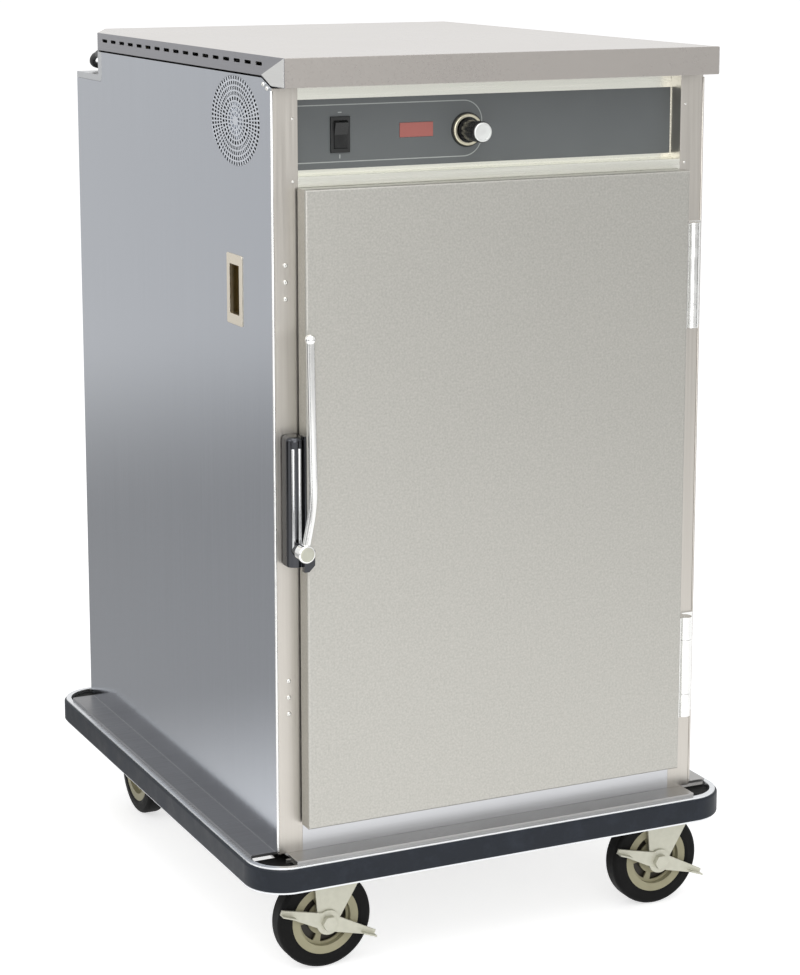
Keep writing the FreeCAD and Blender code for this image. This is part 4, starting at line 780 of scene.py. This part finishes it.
def makeLeverCap(kit):
    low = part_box("latch_lever")[0]
    piece = turnedCap("leverCap", kit)
    back = low[1] + kit["thick"] - kit["proud"]
    place = facing(toFront, (body["left"] + kit["pivotIn"], back, low[2] + kit["hubRadius"]))
    dress(setOut(piece, "leverCap", [place]), capNickel, "lever")


capNickel = chromePlate("satin nickel cap", "b6b6aa", 0.34)
makeLeverCap(leverCap)

# Fan: the bright foil disc that shows through the middle of the vent
fanDisc = {"radius": 24.0 * mm, "thick": 0.8 * mm, "ring": 7.2 * mm, "rise": 0.32 * mm, "sink": 0.2 * mm}


def makeFanDisc(kit):
    low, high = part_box("fan_rotor")
    piece = startRound("fanDisc", kit["radius"], 40)
    pull(kit["thick"])
    bpy.ops.mesh.inset(thickness=kit["ring"])
    pull(kit["rise"])
    closePiece(piece)
    place = facing(toLeft, (low[0] + kit["sink"], (low[1] + high[1]) / 2, (low[2] + high[2]) / 2))
    dress(setOut(piece, "fanDisc", [place]), discFoil, "cooling_fan")


discFoil = chromePlate("stamped foil disc", "f0f3f8", 0.35)
makeFanDisc(fanDisc)
print("latch and fan finished")

# Supply lead: out of its gland, along the step and into a flat hank of long loops
lead = {
    "diameter": 9.0 * mm, "gap": 0.5 * mm, "run": 150.0 * mm, "fold": 27.0 * mm, "ease": 0.08,
    "route": (
        (0.0, 0.0, 29.0), (0.0, 36.0, 29.0), (2.0, 62.0, 16.0), (16.0, 84.0, 8.0), (44.0, 96.0, 5.5),
        (80.0, 98.0, 5.5), (112.0, 94.0, 5.5), (144.0, 90.25, 5.5), (180.0, 90.25, 5.5),
    ),
}


def leadPoints(kit):
    glandLow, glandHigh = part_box("cord_gland")
    start = (glandLow + glandHigh) / 2
    origin = Vector((start.x, glandLow.y, start.z - kit["route"][0][2] * mm))
    points = [origin + Vector(p) * mm for p in kit["route"]]
    # the hank: three rows side by side, on two levels
    pitch = kit["diameter"] + kit["gap"]
    outer = kit["fold"] + 1.5 * pitch
    middle, inner = outer - pitch, outer - 2 * pitch
    left, bottom = points[-1].x, points[-1].z
    right, top = left + kit["run"], bottom + pitch
    midY = points[-1].y - outer
    corner = math.tan(math.pi / 8)

    def fold(x, fromY, toY, z, side):
        # control points outside the half circle, so the line runs on it
        r = abs(fromY - toY) / 2
        centreY = (fromY + toY) / 2
        turn = 1 if fromY > toY else -1
        for out, up in ((corner, 1), (1, corner), (1, -corner), (corner, -1)):
            points.append(Vector((x + side * r * out, midY + centreY + turn * r * up, z)))

    def run(fromX, toX, y, z, lift=0.0):
        ease = (toX - fromX) * kit["ease"]
        points.append(Vector((fromX + ease, midY + y, z)))
        points.append(Vector((toX - ease, midY + y, z + lift)))

    for y, back in ((outer, middle), (middle, inner)):
        run(left, right, y, bottom)
        fold(right, y, -y, bottom, 1)
        run(right, left, -y, bottom)
        fold(left, -y, back, bottom, -1)
    run(left, right, inner, bottom, pitch)
    fold(right, inner, -middle, top, 1)
    run(right, left, -middle, top)
    fold(left, -middle, middle, top, -1)
    run(left, right, middle, top)
    fold(right, middle, -outer, top, 1)
    run(right, left, -outer, top)
    fold(left, -outer, outer, top, -1)
    run(left, right, outer, top)
    points.append(Vector((right, midY + outer, top)))
    return points


def makeLead(kit):
    points = leadPoints(kit)
    data = bpy.data.curves.new("supplyLead", "CURVE")
    data.dimensions = "3D"
    data.bevel_depth = 1.0  # times each point's radius, which also sets the curve's own box
    data.bevel_resolution = 5
    data.resolution_u = 6
    data.use_fill_caps = True
    line = data.splines.new("NURBS")
    line.points.add(len(points) - 1)
    for point, place in zip(line.points, points):
        point.co = (*place, 1.0)
        point.radius = kit["diameter"] / 2
    line.order_u = 3
    line.use_endpoint_u = True
    piece = bpy.data.objects.new("supplyLead", data)
    bpy.context.scene.collection.objects.link(piece)
    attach(piece, "cabinet")
    data.materials.append(cordRubber)
    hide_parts("cord_lead", "cord_hank")
    return piece, points[0]


supplyLead, leadExit = makeLead(lead)
print("supply lead laid")

# Tie: a soft band round the middle of the hank
cordTie = {"width": 16.0 * mm, "thick": 0.9 * mm, "play": 0.2 * mm, "round": 8.0 * mm}


def makeCordTie(kit):
    low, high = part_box("cord_hank")
    grow = 2 * (kit["thick"] + kit["play"])
    piece = startSheet("cordTie", high[1] - low[1] + grow, high[2] - low[2] + grow)
    bpy.ops.mesh.bevel(offset=kit["round"], segments=6, affect="VERTICES")
    bpy.ops.mesh.select_mode(type="FACE")
    bpy.ops.mesh.select_all(action="SELECT")
    bpy.ops.mesh.inset(thickness=kit["thick"])
    bpy.ops.mesh.delete(type="FACE")
    bpy.ops.mesh.select_all(action="SELECT")
    pull(kit["width"])
    closePiece(piece)
    turn = Matrix(((0, 0, 1, 0), (1, 0, 0, 0), (0, 1, 0, 0), (0, 0, 0, 1)))
    middle = (low + high) / 2 - Vector((kit["width"] / 2, 0, 0))
    place = Matrix.Translation(middle) @ turn
    dress(setOut(piece, "cordTie", [place]), tieWeave, "cabinet")


tieWeave = mouldedSkin("woven hook band", "1b1d22", "30333a", 0.85, 1.6, 0.5)
makeCordTie(cordTie)
print("cord tied")

# Studio: a white floor and room, soft lamps, and dark cards that only the chrome shows
studio = {
    "floorSize": 80.0, "floorColour": "e4e4e4", "seenGlow": 0.63, "mirrorGlow": 0.56, "roomLevel": 0.55,
    "fades": {  # axis, from and to in metres, share at each end
        "front": ("Y", -5.5, -1.0, 0.28, 1.0),
        "bandNear": ("Y", -0.1, 0.9, 0.0, 1.0),
        "bandFar": ("Y", 2.1, 4.6, 1.0, 0.30),
        "bandSide": ("X", -0.5, -0.2, 0.60, 0.0),
    },
    "lamps": (  # name, place, aim, size, power
        ("overheadLamp", (-0.6, -1.6, 3.4), (0.0, -0.2, 0.3), 3.0, 58.0),
        ("sideLamp", (-3.4, -0.4, 2.6), (-0.2, 0.0, 0.6), 2.0, 22.0),
        ("frontLamp", (-1.0, -3.8, 1.5), (0.0, -0.3, 0.7), 2.4, 40.0),
    ),
    "cardColour": "0c0c0c",
    "cards": (  # place, width, height
        ((-2.45, -1.5, 0.42), 0.45, 0.8),
        ((-2.6, 0.9, 0.42), 0.7, 0.8),
        ((2.5, -1.3, 0.42), 0.6, 0.8),
    ),
}


def makeFloor(kit):
    bpy.ops.object.select_all(action="DESELECT")
    bpy.ops.mesh.primitive_plane_add(size=kit["floorSize"], location=(0, 0, 0))
    floor = bpy.context.object
    floor.name = "studioFloor"
    material, tree, shader = newMaterial("matt painted floor")
    coords = addNode(tree, "ShaderNodeTexCoord").outputs["Object"]
    parts = addNode(tree, "ShaderNodeSeparateXYZ", {"Vector": coords})
    # the metal shows a floor that is dimmer in front, and in a broad band left of the cabinet
    fades = {}
    for part, (axis, start, end, low, high) in kit["fades"].items():
        fades[part] = addNode(tree, "ShaderNodeMapRange", {
            "Value": parts.outputs[axis], "From Min": start, "From Max": end,
            "To Min": low, "To Max": high}, interpolation_type="SMOOTHSTEP").outputs["Result"]
    band = fades["bandNear"]
    for part in ("bandFar", "bandSide"):
        band = addNode(tree, "ShaderNodeMath", {
            0: band, 1: fades[part]}, operation="MULTIPLY").outputs["Value"]
    clear = addNode(tree, "ShaderNodeMath", {0: 1.0, 1: band}, operation="SUBTRACT").outputs["Value"]
    rays = addNode(tree, "ShaderNodeLightPath").outputs
    shade = addNode(tree, "ShaderNodeMapRange", {
        "Value": rays["Is Camera Ray"], "To Min": clear, "To Max": 1.0}).outputs["Result"]
    colour = addNode(tree, "ShaderNodeMix", {
        "Factor": shade, "A": (0.0, 0.0, 0.0, 1.0), "B": hexColour(kit["floorColour"])},
        data_type="RGBA")
    mirrored = addNode(tree, "ShaderNodeMath", {
        0: rays["Is Glossy Ray"], 1: rays["Is Transmission Ray"]},
        operation="ADD", use_clamp=True).outputs["Value"]
    mirrorGlow = fades["front"]
    for share in (clear, kit["mirrorGlow"], mirrored):
        mirrorGlow = addNode(tree, "ShaderNodeMath", {
            0: mirrorGlow, 1: share}, operation="MULTIPLY").outputs["Value"]
    glow = addNode(tree, "ShaderNodeMapRange", {
        "Value": rays["Is Camera Ray"], "To Min": mirrorGlow, "To Max": kit["seenGlow"]})
    tree.links.new(colour.outputs["Result"], shader.inputs["Base Color"])
    tree.links.new(glow.outputs["Result"], shader.inputs["Emission Strength"])
    shader.inputs["Emission Color"].default_value = (1, 1, 1, 1)
    shader.inputs["Roughness"].default_value = 0.9
    shader.inputs["Specular IOR Level"].default_value = 0.1
    floor.data.materials.append(material)


def makeCards(kit):
    material, _, shader = newMaterial("matt black card")
    shader.inputs["Base Color"].default_value = hexColour(kit["cardColour"])
    shader.inputs["Roughness"].default_value = 0.9
    for place, width, height in kit["cards"]:
        bpy.ops.object.select_all(action="DESELECT")
        bpy.ops.mesh.primitive_plane_add(size=1.0)
        card = bpy.context.object
        card.name = "darkCard"
        turned = facing((-place[0], -place[1], 0), place)  # towards the cabinet
        card.data.transform(turned @ Matrix.Diagonal((width, height, 1.0, 1.0)))
        card.visible_camera = False
        card.visible_diffuse = False
        card.visible_shadow = False
        card.data.materials.append(material)


def makeRoom(kit):
    world = bpy.data.worlds.new("studioRoom")
    bpy.context.scene.world = world
    world.use_nodes = True
    tree = world.node_tree
    background = tree.nodes["Background"]
    rays = addNode(tree, "ShaderNodeLightPath").outputs
    seen = addNode(tree, "ShaderNodeMath", {
        0: rays["Is Camera Ray"], 1: rays["Is Glossy Ray"]}, operation="ADD")
    white = addNode(tree, "ShaderNodeMath", {
        0: seen.outputs["Value"], 1: rays["Is Transmission Ray"]}, operation="ADD", use_clamp=True)
    level = addNode(tree, "ShaderNodeMapRange", {
        "Value": white.outputs["Value"], "To Min": kit["roomLevel"], "To Max": 1.0})
    background.inputs["Color"].default_value = (1, 1, 1, 1)
    tree.links.new(level.outputs["Result"], background.inputs["Strength"])


def makeLamps(kit):
    for name, place, aim, size, power in kit["lamps"]:
        data = bpy.data.lights.new(name, "AREA")
        data.size = size
        data.energy = power
        lamp = bpy.data.objects.new(name, data)
        lamp.location = place
        lamp.rotation_euler = (Vector(aim) - Vector(place)).to_track_quat("-Z", "Y").to_euler()
        bpy.context.scene.collection.objects.link(lamp)


makeFloor(studio)
makeCards(studio)
makeRoom(studio)
makeLamps(studio)
print("studio lit")
